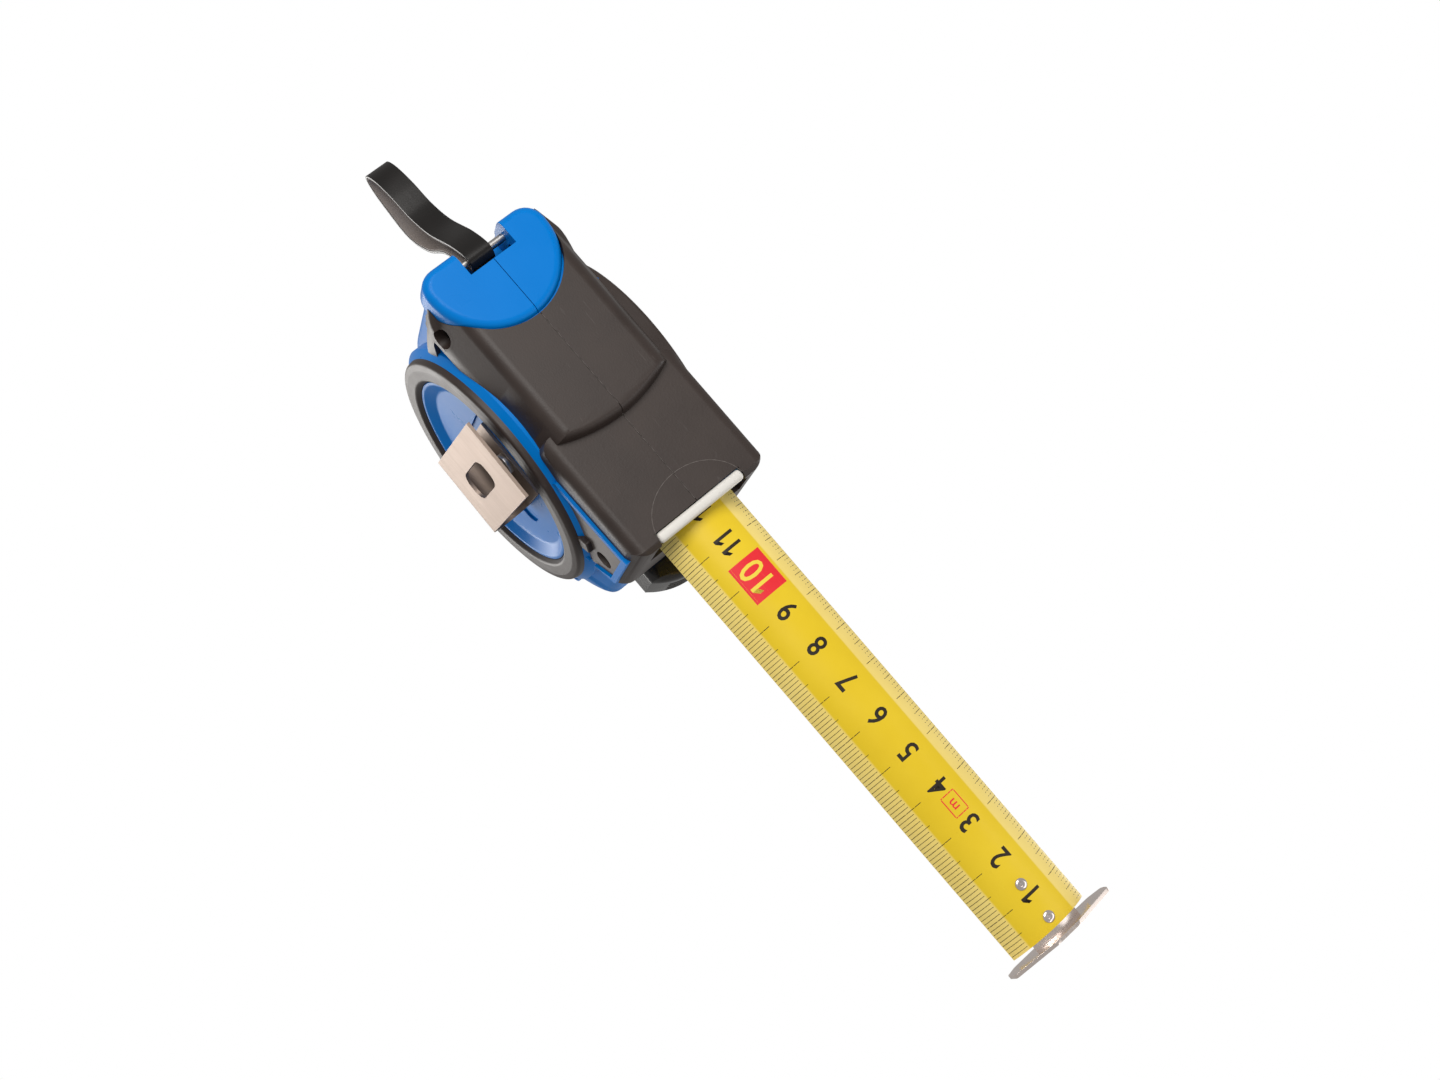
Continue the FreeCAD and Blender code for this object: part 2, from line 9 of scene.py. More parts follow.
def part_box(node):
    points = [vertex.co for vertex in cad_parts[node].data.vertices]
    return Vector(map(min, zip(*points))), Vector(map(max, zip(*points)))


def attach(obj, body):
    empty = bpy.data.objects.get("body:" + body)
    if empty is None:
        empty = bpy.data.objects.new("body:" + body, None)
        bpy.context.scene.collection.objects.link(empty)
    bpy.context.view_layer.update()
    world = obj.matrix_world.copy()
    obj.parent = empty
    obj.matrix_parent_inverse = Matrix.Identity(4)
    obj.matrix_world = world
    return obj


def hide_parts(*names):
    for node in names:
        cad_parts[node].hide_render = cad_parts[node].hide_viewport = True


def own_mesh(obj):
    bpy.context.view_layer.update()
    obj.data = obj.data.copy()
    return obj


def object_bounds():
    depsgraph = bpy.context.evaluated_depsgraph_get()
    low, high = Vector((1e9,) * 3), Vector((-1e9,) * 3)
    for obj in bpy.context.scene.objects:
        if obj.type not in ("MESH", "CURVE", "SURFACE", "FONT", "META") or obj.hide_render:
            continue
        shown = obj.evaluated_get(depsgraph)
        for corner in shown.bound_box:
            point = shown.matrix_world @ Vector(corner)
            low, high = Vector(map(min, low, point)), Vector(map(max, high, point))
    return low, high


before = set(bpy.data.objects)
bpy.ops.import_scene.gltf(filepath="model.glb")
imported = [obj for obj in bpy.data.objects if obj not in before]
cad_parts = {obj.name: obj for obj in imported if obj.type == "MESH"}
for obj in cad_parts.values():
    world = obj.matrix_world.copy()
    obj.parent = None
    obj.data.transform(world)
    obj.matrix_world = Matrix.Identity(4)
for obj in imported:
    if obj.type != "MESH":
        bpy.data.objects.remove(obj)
cad_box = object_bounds()
MM = 0.001

# ------------------------------------------------------------------ view, light and floor
# The tape measure stands on a pale floor in soft daylight from all round. The camera looks up at its base
# past the clip side, so the floor is see-through from beneath and hides nothing in that view.

view_place = Vector((83.4, 149.7, -447.9)) * MM
view_right = Vector((0.651, -0.7348, -0.1905)).normalized()
view_up = Vector((-0.7555, -0.603, -0.2561))
view_back = view_right.cross(view_up).normalized()
view_up = view_back.cross(view_right)

camera_data = bpy.data.cameras.new("camera")
camera_data.lens = 55.0
camera_data.clip_start = 0.01
camera = bpy.data.objects.new("camera", camera_data)
view_turn = Matrix((view_right, view_up, view_back)).transposed()
camera.matrix_world = Matrix.Translation(view_place) @ view_turn.to_4x4()
bpy.context.collection.objects.link(camera)
bpy.context.scene.camera = camera
bpy.context.scene.view_settings.view_transform = "Standard"


def wired(tree, source, output, target, socket):
    """Links one node's output to another node's input, both by name."""
    tree.links.new(source.outputs[output], target.inputs[socket])


def shaders_mixed(tree, mask, low, high, last):
    """Feeds a tree's last node with one shader or the other, by a mask socket."""
    mix = tree.nodes.new("ShaderNodeMixShader")
    tree.links.new(mask, mix.inputs["Fac"])
    tree.links.new(low.outputs[0], mix.inputs[1])
    tree.links.new(high.outputs[0], mix.inputs[2])
    wired(tree, mix, "Shader", last, "Surface")


world = bpy.data.worlds.new("daylight")
bpy.context.scene.world = world
world.use_nodes = True
sky = world.node_tree.nodes
daylight, backdrop = sky["Background"], sky.new("ShaderNodeBackground")
for light, tint, strength in ((daylight, (1.0, 0.985, 0.97, 1), 0.42), (backdrop, (1, 1, 1, 1), 1.0)):
    light.inputs["Color"].default_value = tint
    light.inputs["Strength"].default_value = strength
seen = sky.new("ShaderNodeLightPath").outputs["Is Camera Ray"]
shaders_mixed(world.node_tree, seen, daylight, backdrop, sky["World Output"])

LAMP_AIM = Vector((cad_box[0][0] * 0.4 + cad_box[1][0] * 0.6, 0.0, 0.03))


def soft_box(name, place, width, watts, tint=(1, 1, 1)):
    """Square area light that faces the object."""
    data = bpy.data.lights.new(name, "AREA")
    data.size = width
    data.energy = watts
    data.color = tint
    lamp = bpy.data.objects.new(name, data)
    lamp.location = place
    lamp.rotation_euler = (LAMP_AIM - Vector(place)).to_track_quat("-Z", "Y").to_euler()
    bpy.context.collection.objects.link(lamp)


soft_box("key_below", (-0.25, 0.05, -0.55), 0.35, 3.2, (1.0, 0.98, 0.95))
soft_box("fill_below", (0.45, -0.35, -0.35), 0.5, 1.0)
soft_box("key_above", (-0.3, 0.45, 0.7), 0.5, 4.5, (1.0, 0.98, 0.95))
soft_box("fill_above", (0.5, -0.5, 0.45), 0.6, 3.0)

FLOOR_HALF = 1.6
floor_mesh = bpy.data.meshes.new("floor")
floor_corners = [(x * FLOOR_HALF, y * FLOOR_HALF, 0) for x, y in ((-1, -1), (1, -1), (1, 1), (-1, 1))]
floor_mesh.from_pydata(floor_corners, [], [(0, 1, 2, 3)])
floor = bpy.data.objects.new("floor", floor_mesh)
bpy.context.collection.objects.link(floor)
floor.location.z = -0.0002
for ray in ("diffuse", "glossy", "shadow", "transmission"):
    setattr(floor, "visible_" + ray, False)
paper = bpy.data.materials.new("pale_floor")
paper.use_nodes = True
paper_nodes = paper.node_tree.nodes
matt = paper_nodes["Principled BSDF"]
matt.inputs["Base Color"].default_value = (0.82, 0.81, 0.80, 1)
matt.inputs["Roughness"].default_value = 0.9
beneath = paper_nodes.new("ShaderNodeNewGeometry").outputs["Backfacing"]
clear = paper_nodes.new("ShaderNodeBsdfTransparent")
shaders_mixed(paper.node_tree, beneath, matt, clear, paper_nodes["Material Output"])
floor_mesh.materials.append(paper)

# ------------------------------------------------------------------ hard case halves
# Two injection-moulded halves in glossy blue ABS, screwed together along the seam. Each carries half of the
# tail cap with the strap's notch, the rib round the corner panel, the mouth and the slot for the lock.


def centre_of(node_name):
    """Middle of a frame node's box, as X and Z."""
    low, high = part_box(node_name)
    return (low[0] + high[0]) / 2, (low[2] + high[2]) / 2


def mm(*values):
    """Values given in millimetres, in metres."""
    return tuple(value * MM for value in values)


def metres(points):
    """Points given in millimetres, in metres."""
    return [mm(*point) for point in points]


def span(side, near, far):
    """Lower and upper Y of what lies between two distances from the seam, on one side of it."""
    return sorted((side * near, side * far))


HALF_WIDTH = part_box("grip_left")[1][1]
AXIS_UP = centre_of("ring_left")[1]
SHELL_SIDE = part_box("ring_left")[0][1]
SKIN = HALF_WIDTH - SHELL_SIDE
SEAM = 0.085 * MM
LEFT, RIGHT = 1, -1
WORD = {LEFT: "left", RIGHT: "right"}


def arc_points(centre, radius, start, end, count):
    """Points on an arc in the XZ plane, angles in degrees from +X towards +Z."""
    turns = [math.radians(start + (end - start) * i / count) for i in range(count + 1)]
    return [(centre[0] + radius * math.cos(a), centre[1] + radius * math.sin(a)) for a in turns]


def through(a, b, c, count):
    """Points on the arc through three points of the XZ plane."""
    (ax, az), (bx, bz), (cx, cz) = a, b, c
    d = 2 * (ax * (bz - cz) + bx * (cz - az) + cx * (az - bz))
    far_a, far_b, far_c = ax ** 2 + az ** 2, bx ** 2 + bz ** 2, cx ** 2 + cz ** 2
    ux = (far_a * (bz - cz) + far_b * (cz - az) + far_c * (az - bz)) / d
    uz = (far_a * (cx - bx) + far_b * (ax - cx) + far_c * (bx - ax)) / d
    angles = [math.degrees(math.atan2(p[1] - uz, p[0] - ux)) for p in (a, b, c)]
    turn = (angles[2] - angles[0]) % 360
    if (angles[1] - angles[0]) % 360 > turn:
        turn -= 360
    return arc_points((ux, uz), math.hypot(ax - ux, az - uz), angles[0], angles[0] + turn, count)


def spaced(points, gap):
    """A closed polyline with points at even spacing, keeping its corners."""
    result = []
    for index, start in enumerate(points):
        end = points[(index + 1) % len(points)]
        length = math.dist(start, end)
        steps = max(1, round(length / gap))
        for step in range(steps):
            share = step / steps
            result.append((start[0] + (end[0] - start[0]) * share, start[1] + (end[1] - start[1]) * share))
    return result


def rounded_corners(points, radii, count=6):
    """Replaces each corner of a closed polygon by an arc of its own radius (0 keeps the corner)."""
    result = []
    for index, corner in enumerate(points):
        radius = radii[index]
        here = Vector(corner)
        before = (Vector(points[index - 1]) - here).normalized()
        after = (Vector(points[(index + 1) % len(points)]) - here).normalized()
        if radius == 0:
            result.append(corner)
            continue
        half_angle = before.angle(after) / 2
        reach = radius / math.tan(half_angle)
        centre = here + (before + after).normalized() * radius / math.sin(half_angle)
        first, last = here + before * reach, here + after * reach
        a, b = math.atan2(*(first - centre).yx), math.atan2(*(last - centre).yx)
        turn = (b - a + math.pi) % (2 * math.pi) - math.pi
        turns = [a + turn * i / count for i in range(count + 1)]
        result += [(centre.x + radius * math.cos(t), centre.y + radius * math.sin(t)) for t in turns]
    return result


def new_object(name, bm):
    """Turns a bmesh into an object of the scene, with outward normals."""
    bmesh.ops.recalc_face_normals(bm, faces=bm.faces)
    mesh = bpy.data.meshes.new(name)
    bm.to_mesh(mesh)
    bm.free()
    obj = bpy.data.objects.new(name, mesh)
    bpy.context.collection.objects.link(obj)
    return obj


def bridge(bm, ring_a, ring_b):
    """Faces between two closed rings of vertices, either of which may be a single point."""
    count = max(len(ring_a), len(ring_b))
    for i in range(count):
        j = (i + 1) % count
        first = [ring_a[k % len(ring_a)] for k in (i, j)]
        second = [ring_b[k % len(ring_b)] for k in (j, i)]
        bm.faces.new(list(dict.fromkeys(first + second)))


def inset_outline(outline, amount):
    """Outline drawn in by an amount. Each point moves towards the middle, so that no corner folds over."""
    points = [Vector(p) for p in outline]
    count = len(points)
    area = sum(points[i - 1].x * points[i].y - points[i].x * points[i - 1].y for i in range(count))
    middle = sum(points, Vector((0, 0))) / count
    result = []
    for i in range(count):
        along = (points[(i + 1) % count] - points[i - 1]).normalized()
        inward = Vector((-along.y, along.x)) * (1 if area > 0 else -1)
        towards = (middle - points[i]).normalized()
        result.append(tuple(points[i] + towards * amount / max(0.55, inward.dot(towards))))
    return result


def round_rim(radius, steps=6):
    """Quarter-round rim as pairs: how far in from the side, and how far the outline is drawn in."""
    angles = [math.pi / 2 * step / steps for step in range(steps + 1)]
    return [(radius * (1 - math.cos(a)), radius * (1 - math.sin(a))) for a in angles]


def loft_into(bm, rows, looped=False):
    """Adds a solid through rows of points, looped back to its first row or closed by end faces."""
    rings = [[bm.verts.new(point) for point in row] for row in rows]
    for first, second in zip(rings, rings[1:] + (rings[:1] if looped else [])):
        bridge(bm, first, second)
    for end in () if looped else (rings[0], rings[-1]):
        if len(end) > 1:
            bm.faces.new(end)


def lofted(name, rows, looped=False):
    """Object of one such solid."""
    bm = bmesh.new()
    loft_into(bm, rows, looped)
    return new_object(name, bm)


def slab(name, outline, low, high, rim=((0, 0),)):
    """Outline in the XZ plane made solid between two values of Y, both rims shaped by the same pairs."""
    rows = []
    places = [(low + y, inset) for y, inset in rim] + [(high - y, inset) for y, inset in reversed(rim)]
    for y, inset in places:
        moved = inset_outline(outline, inset) if inset else outline
        rows.append([(x, y, z) for x, z in moved])
    return lofted(name, rows)


def brick(name, x, y, z):
    """Plain box between bounds, used only as a cutter."""
    return slab(name, [(x[0], z[0]), (x[1], z[0]), (x[1], z[1]), (x[0], z[1])], y[0], y[1])


def plug(name, x, z, radius, low, high, count=48):
    """Cylinder along Y, used as a cutter or a boss."""
    return slab(name, arc_points((x, z), radius, 0, 360 - 360 / count, count - 1), low, high)


def baked(obj):
    """Applies an object's modifiers to its mesh."""
    deps = bpy.context.evaluated_depsgraph_get()
    mesh = bpy.data.meshes.new_from_object(obj.evaluated_get(deps))
    obj.modifiers.clear()
    old = obj.data
    obj.data = mesh
    bpy.data.meshes.remove(old)
    return obj


def worked(obj, operation, *tools):
    """Joins, cuts or trims a piece with others, and throws the others away."""
    for tool in tools:
        step = obj.modifiers.new("step", "BOOLEAN")
        step.operation = operation
        step.solver = "MANIFOLD"
        step.object = tool
    baked(obj)
    for tool in tools:
        bpy.data.objects.remove(tool)
    return obj


def finished(obj, edge, segments=2, angle=35):
    """Breaks the sharp edges and shades the rest smooth."""
    if edge:
        bevel = obj.modifiers.new("edges", "BEVEL")
        bevel.width = edge
        bevel.segments = segments
        bevel.limit_method = "ANGLE"
        bevel.angle_limit = math.radians(angle)
        baked(obj)
    for face in obj.data.polygons:
        face.use_smooth = True
    obj.data.set_sharp_from_angle(angle=math.radians(angle))
    even = obj.modifiers.new("even", "WEIGHTED_NORMAL")
    even.keep_sharp = True
    return baked(obj)


def case_outline():
    """Side view of the case without the front block: flat base, round crown and back."""
    base = [(-36.2, 0.0), (13.6, 0.0), (15.4, 3.6), (30.0, 20.0), (39.5, 32.0), (39.5, 57.5)]
    crown = through((39.5, 57.5), (27.5, 71.2), (0.0, 78.0), 24)[1:]
    crown += through((0.0, 78.0), (-26.9, 66.9), (-38.0, 40.0), 30)[1:]
    heel = (-37.4, 6.0)
    low = rounded_corners(base + [crown[-1], heel], [2.5, 1.6, 0.5, 0, 2.0, 0, 0, 0])
    return metres(low[:-2] + crown + [heel])


def block_outline():
    """Side view of the front block round the mouth."""
    corners = [(8.0, 3.0), (40.3, 3.0), (41.5, 4.2), (41.5, 28.3), (39.0, 32.0), (14.0, 32.0), (6.0, 14.0)]
    return metres(rounded_corners(corners, [0, 0.4, 0.6, 2.2, 1.0, 0, 0]))


OUTLINE = spaced(case_outline(), 1.6 * MM)
BLOCK = spaced(block_outline(), 1.6 * MM)
BLOCK_RIM = 3.0 * MM
CORNER_PLAN = 4.5 * MM


def standing_prism(name, outline, low, high, rim=((0, 0),)):
    """Outline in the XY plane made solid between two heights."""
    obj = slab(name, outline, low, high, rim)
    obj.data.transform(Matrix(((1, 0, 0, 0), (0, 0, 1, 0), (0, 1, 0, 0), (0, 0, 0, 1))))
    obj.data.flip_normals()
    return obj


def side_rim():
    """Rim of the case: a tight edge on the base, a sloping flank and a soft turn into the flat side."""
    flank = rounded_corners([(0, 17), (0, 10.0), (4.4, 0), (9, 0)], [0, 9.0, 3.6, 0], 7)[1:-1]
    return [(y * MM, max(0.0, drawn * MM)) for y, drawn in flank]


def step_cutter(inset):
    """Everything in front of the tongue of the base, whose edge bows forward and is softly rounded."""
    tip, bow = 13.7, 0.0135
    soft_edge = ((-1.0, 2.6), (0.0, 1.5), (0.35, 0.85), (0.9, 0.4), (1.6, 0.12), (2.4, 0.0), (3.05, -0.1))
    rows = []
    for high, back in soft_edge:
        up = high * MM + inset
        curve = [((tip - back - bow * y * y) * MM - inset, y * MM, up) for y in range(-24, 25, 2)]
        rows.append(curve + [(60 * MM, 24 * MM, up), (60 * MM, -24 * MM, up)])
    return lofted("step", rows)


def hull(name, inset):
    """The whole case as one rounded solid, drawn in by inset all over."""
    side = HALF_WIDTH - inset
    body = slab(name, inset_outline(OUTLINE, inset), -side, side, side_rim())
    worked(body, "DIFFERENCE", step_cutter(inset))
    block = slab(name + "_block", inset_outline(BLOCK, inset), -side - 0.04 * MM, side + 0.04 * MM,
                 round_rim(BLOCK_RIM))
    worked(body, "UNION", block)
    front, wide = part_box("grip_left")[1][0] - inset, side + 0.1 * MM
    plan = rounded_corners([(-60 * MM, -wide), (front, -wide), (front, wide), (-60 * MM, wide)],
                           [0, CORNER_PLAN, CORNER_PLAN, 0], 8)
    return worked(body, "INTERSECT", standing_prism("plan", plan, -10 * MM, 100 * MM))


def half_space(side):
    """Everything on one side of the seam."""
    return brick("half", mm(-90, 90), span(side, SEAM, 60 * MM), mm(-20, 120))


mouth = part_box("mouth_strip")
MOUTH_HALF = 13.4 * MM
MOUTH_LOW, MOUTH_HIGH = mouth[1][2], 14.8 * MM
SCREW_PLACES = metres([(34.0, 23.0), (-24.5, 8.5), (-23.0, 64.0), (26.5, 62.5)])
SCREW_WELL, WELL_LINING = 3.0 * MM, 2.35 * MM
CAP_CENTRE, CAP_SHIFT, CAP_RADIUS, CAP_HIGH = -31.2 * MM, 0.8 * MM, 16.6 * MM, 9.0 * MM
NOTCH_FRONT, NOTCH_HALF, NOTCH_HIGH = -30.2 * MM, 6.4 * MM, 11.5 * MM


def cap_outline(grow=0.0):
    """Plan of the tail cap: half round towards the mouth, with softer corners at the back."""
    radius = CAP_RADIUS + grow
    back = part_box("shell_left")[0][0] + 0.7 * MM - grow * 8
    corner = 5.0 * MM
    front = arc_points((CAP_CENTRE, CAP_SHIFT), radius, -90, 90, 36)
    left, right = CAP_SHIFT + radius, CAP_SHIFT - radius
    tail = rounded_corners([(CAP_CENTRE, left), (back, left), (back, right), (CAP_CENTRE, right)],
                           [0, corner, corner, 0], 8)
    return front + tail[1:-1]


def tail_cap():
    """Blue boss on the base that guards the strap's pin."""
    return standing_prism("cap", cap_outline(), 0.0, CAP_HIGH, round_rim(2.2 * MM, 7))


def mouth_way():
    """Passage for the blade through the front of the case."""
    return brick("mouth_way", mm(2, 60), (-MOUTH_HALF, MOUTH_HALF), (MOUTH_LOW, MOUTH_HIGH))


def strip_seat():
    """Pocket of the white strip under the mouth."""
    return brick("seat", (mouth[0][0] - 0.1 * MM, 60 * MM), (mouth[0][1] - 0.1 * MM, mouth[1][1] + 0.1 * MM),
                 (-5 * MM, MOUTH_LOW + 1 * MM))


def notch():
    """Rectangular gap in the tail cap where the strap goes round its pin."""
    return brick("notch", (-60 * MM, NOTCH_FRONT), (-NOTCH_HALF, NOTCH_HALF), (-5 * MM, NOTCH_HIGH))


PLINTH_WIDE, PLINTH_NARROW = 33.0 * MM, 31.2 * MM


def rings_round(profile, count):
    """Rings of (X, along, Z) points round an axis, from (radius, along) pairs. A pole is a single point."""
    result = []
    for radius, along in profile:
        turns = [2 * math.pi * i / count for i in range(count if radius > 1e-7 else 1)]
        result.append([(radius * math.cos(a), along, radius * math.sin(a)) for a in turns])
    return result


def turned(name, profile, side):
    """Closed profile of (radius, Y) pairs turned about the drum's axis."""
    rows = [[(x, side * y, AXIS_UP + z) for x, y, z in ring] for ring in rings_round(profile, 128)]
    return lofted(name, rows, looped=len(rows[0]) > 1)


def panel_line(grow):
    """Corner panel beside the mouth: three straight sides and the arc round the ring."""
    ring = 31.2 * MM - grow
    low, front, top = 10.8 * MM - grow, 37.8 * MM + grow, 25.6 * MM + grow * 0.4
    arc = arc_points((0, AXIS_UP), ring, -62.0, -18.0, 24)
    last_x, last_z = arc[-1]
    return arc + [(last_x + 2.2 * MM, last_z), (front, top), (front, low), (15.6 * MM, 12.0 * MM - grow)]


def shell_half(side):
    """One hard half: wall, tail cap and panel rib, open at the mouth, the notch and the lock's slot."""
    shell = hull("case_half_" + WORD[side], SKIN)
    worked(shell, "UNION", tail_cap())
    foot, rise, bore = HALF_WIDTH - 3 * MM, HALF_WIDTH + 1.1 * MM, 5 * MM
    step = [(PLINTH_WIDE, foot), (PLINTH_WIDE, HALF_WIDTH - 0.5 * MM), (PLINTH_NARROW, rise), (bore, rise),
            (bore, foot)]
    plinth = turned("plinth", step, side)
    if side == RIGHT:
        worked(plinth, "INTERSECT",
               brick("above_rubber", mm(-40, 40), (-30 * MM, 0), mm(13, 90)))
    worked(shell, "UNION", plinth)
    worked(shell, "DIFFERENCE",
           plug("dish", 0, AXIS_UP, 25.0 * MM, *span(side, SHELL_SIDE + 0.01 * MM, 30 * MM), 96))
    near, far = SHELL_SIDE - 1 * MM, HALF_WIDTH + 0.8 * MM
    rib = slab("rib", panel_line(1.5 * MM), *span(side, near, far))
    worked(rib, "DIFFERENCE",
           slab("rib_hole", panel_line(0.0), *span(side, SHELL_SIDE + 0.02 * MM, far + MM)))
    worked(shell, "UNION", rib)
    worked(shell, "DIFFERENCE", slab("hollow", inset_outline(OUTLINE, 5.5 * MM), -15.0 * MM, 15.0 * MM),
           mouth_way(), strip_seat(), notch(),
           brick("lever_room", mm(18.6, 31.6), mm(-5.2, 9.2), mm(6, 51)),
           brick("lock_slot", mm(30, 45), mm(-3.8, 3.8), mm(38.7, 50.4)))
    if side == LEFT:
        worked(shell, "UNION", *[plug("boss", *at, 3.5 * MM, 10 * MM, 16 * MM) for at in SCREW_PLACES])
        worked(shell, "DIFFERENCE", *[plug("bore", *at, SCREW_WELL, 15 * MM, 30 * MM) for at in SCREW_PLACES])
    worked(shell, "INTERSECT", half_space(side))
    return finished(shell, 0.22 * MM)


shells = {side: shell_half(side) for side in (LEFT, RIGHT)}


def new_material(name, tint, rough, metal=0.0):
    """Principled material with its main sockets set."""
    made = bpy.data.materials.new(name)
    made.use_nodes = True
    shader = made.node_tree.nodes["Principled BSDF"]
    shader.inputs["Base Color"].default_value = (*tint, 1)
    shader.inputs["Roughness"].default_value = rough
    shader.inputs["Metallic"].default_value = metal
    return made, shader


def node(tree, kind, **sockets):
    """Adds a node and sets its plain sockets."""
    made = tree.nodes.new(kind)
    for key, value in sockets.items():
        made.inputs[key.replace("_", " ")].default_value = value
    return made


def math_node(tree, operation, first, second=None, clamp=False):
    """Math node fed by sockets or numbers."""
    made = tree.nodes.new("ShaderNodeMath")
    made.operation = operation
    made.use_clamp = clamp
    for index, value in enumerate((first, second)):
        if value is None:
            continue
        if isinstance(value, (int, float)):
            made.inputs[index].default_value = value
        else:
            tree.links.new(value, made.inputs[index])
    return made.outputs[0]


def tint_between(tree, share, low, high):
    """Colour between two tints, by a mask."""
    mix = tree.nodes.new("ShaderNodeMix")
    mix.data_type = "RGBA"
    tree.links.new(share, mix.inputs["Factor"])
    for index, tint in ((6, low), (7, high)):
        if isinstance(tint, tuple):
            mix.inputs[index].default_value = (*tint, 1)
        else:
            tree.links.new(tint, mix.inputs[index])
    return mix.outputs[2]


def bumped(tree, height, shader, distance, strength=1.0):
    """Bump node on a shader's Normal."""
    bump = tree.nodes.new("ShaderNodeBump")
    bump.inputs["Distance"].default_value = distance
    bump.inputs["Strength"].default_value = strength
    tree.links.new(height, bump.inputs["Height"])
    wired(tree, bump, "Normal", shader, "Normal")


def new_group(name, inputs, outputs):
    """Shader node group with float inputs and outputs, by name and value."""
    group = bpy.data.node_groups.new(name, "ShaderNodeTree")
    for label, value in inputs.items():
        socket = group.interface.new_socket(label, in_out="INPUT", socket_type="NodeSocketFloat")
        socket.default_value = value
    for label in outputs:
        group.interface.new_socket(label, in_out="OUTPUT", socket_type="NodeSocketFloat")
    return group, group.nodes.new("NodeGroupInput"), group.nodes.new("NodeGroupOutput")


def moulded_skin_group():
    """Spark-eroded mould texture: fine grain height, soft patches and a few long hairline scuffs."""
    group, given, result = new_group("moulded_skin", {"Grain Scale": 2500.0, "Patch Scale": 90.0},
                                     ["Grain", "Patches", "Scuffs"])
    place = group.nodes.new("ShaderNodeTexCoord")
    grain = node(group, "ShaderNodeTexNoise", Detail=3.0, Roughness=0.6)
    patches = node(group, "ShaderNodeTexNoise", Detail=4.0, Roughness=0.55)
    stretch = node(group, "ShaderNodeMapping", Rotation=(0.3, 0.5, 0.7), Scale=(120.0, 700.0, 400.0))
    scratch = node(group, "ShaderNodeTexNoise", Scale=1.0, Detail=2.0, Distortion=1.6)
    for texture, scale in ((grain, "Grain Scale"), (patches, "Patch Scale")):
        wired(group, place, "Object", texture, "Vector")
        group.links.new(given.outputs[scale], texture.inputs["Scale"])
    wired(group, place, "Object", stretch, "Vector")
    wired(group, stretch, "Vector", scratch, "Vector")
    strong = math_node(group, "SUBTRACT", scratch.outputs["Fac"], 0.68)
    sharp = math_node(group, "MULTIPLY", strong, 7.0, True)
    wired(group, grain, "Fac", result, "Grain")
    wired(group, patches, "Fac", result, "Patches")
    group.links.new(sharp, result.inputs["Scuffs"])
    return group


moulded_skin = moulded_skin_group()


def grouped(tree, group, **values):
    """Places a node group in a material with its own values."""
    made = tree.nodes.new("ShaderNodeGroup")
    made.node_tree = group
    for key, value in values.items():
        made.inputs[key.replace("_", " ")].default_value = value
    return made


def moulded_plastic(name, tint, rough, grain=0.00001, shine=0.35, patch_tint=None, scuff=0.25):
    """Moulded plastic or rubber: even colour broken by handling patches and hairline scuffs."""
    made, shader = new_material(name, tint, rough)
    shader.inputs["Specular IOR Level"].default_value = shine
    tree = made.node_tree
    skin = grouped(tree, moulded_skin)
    worn = patch_tint or tuple(min(1.0, c * 1.25 + 0.01) for c in tint)
    base = tint_between(tree, math_node(tree, "MULTIPLY", skin.outputs["Patches"], 0.6), tint, worn)
    scuffed = tuple(min(1.0, c * 1.6 + 0.05) for c in tint)
    base = tint_between(tree, math_node(tree, "MULTIPLY", skin.outputs["Scuffs"], scuff), base, scuffed)
    tree.links.new(base, shader.inputs["Base Color"])
    patched = math_node(tree, "MULTIPLY", skin.outputs["Patches"], 0.22)
    scratched = math_node(tree, "MULTIPLY", skin.outputs["Scuffs"], 0.15)
    uneven = math_node(tree, "ADD", math_node(tree, "ADD", patched, rough - 0.11), scratched)
    tree.links.new(uneven, shader.inputs["Roughness"])
    bumped(tree, skin.outputs["Grain"], shader, grain)
    return made


blue = moulded_plastic("glossy_blue_abs", (0.0, 0.165, 0.55), 0.3, 0.000001, 0.1, (0.0, 0.19, 0.62), 0.03)


def coated(obj, material):
    """Gives a piece its one material."""
    obj.data.materials.clear()
    obj.data.materials.append(material)


def dressed(obj, material, body, node_names=()):
    """Gives a piece its body, the frame nodes it stands for and its material."""
    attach(obj, body)
    if node_names:
        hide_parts(*node_names)
    coated(obj, material)
    return obj


for side, shell in shells.items():
    dressed(shell, blue, "case", ["shell_" + WORD[side]])

# ------------------------------------------------------------------ rubber overmould
# Charcoal thermoplastic rubber moulded over the base, the front block and the lower sides of each half, with
# a ribbed palm pad over the crown.

rubber = moulded_plastic("charcoal_rubber", (0.0195, 0.0125, 0.0105), 0.46, 0.00003, 0.4,
                         (0.060, 0.043, 0.036), 0.5)
BAND_RADIUS = {LEFT: 33.1 * MM, RIGHT: 31.4 * MM}


def lined_well(obj, number, top):
    """Adds a rubber lining down one screw well and bores it through."""
    at = SCREW_PLACES[number]
    worked(obj, "UNION", plug("lining", *at, SCREW_WELL - 0.03 * MM, 15.05 * MM, top))
    worked(obj, "DIFFERENCE", plug("bore", *at, WELL_LINING, 10 * MM, 30 * MM))


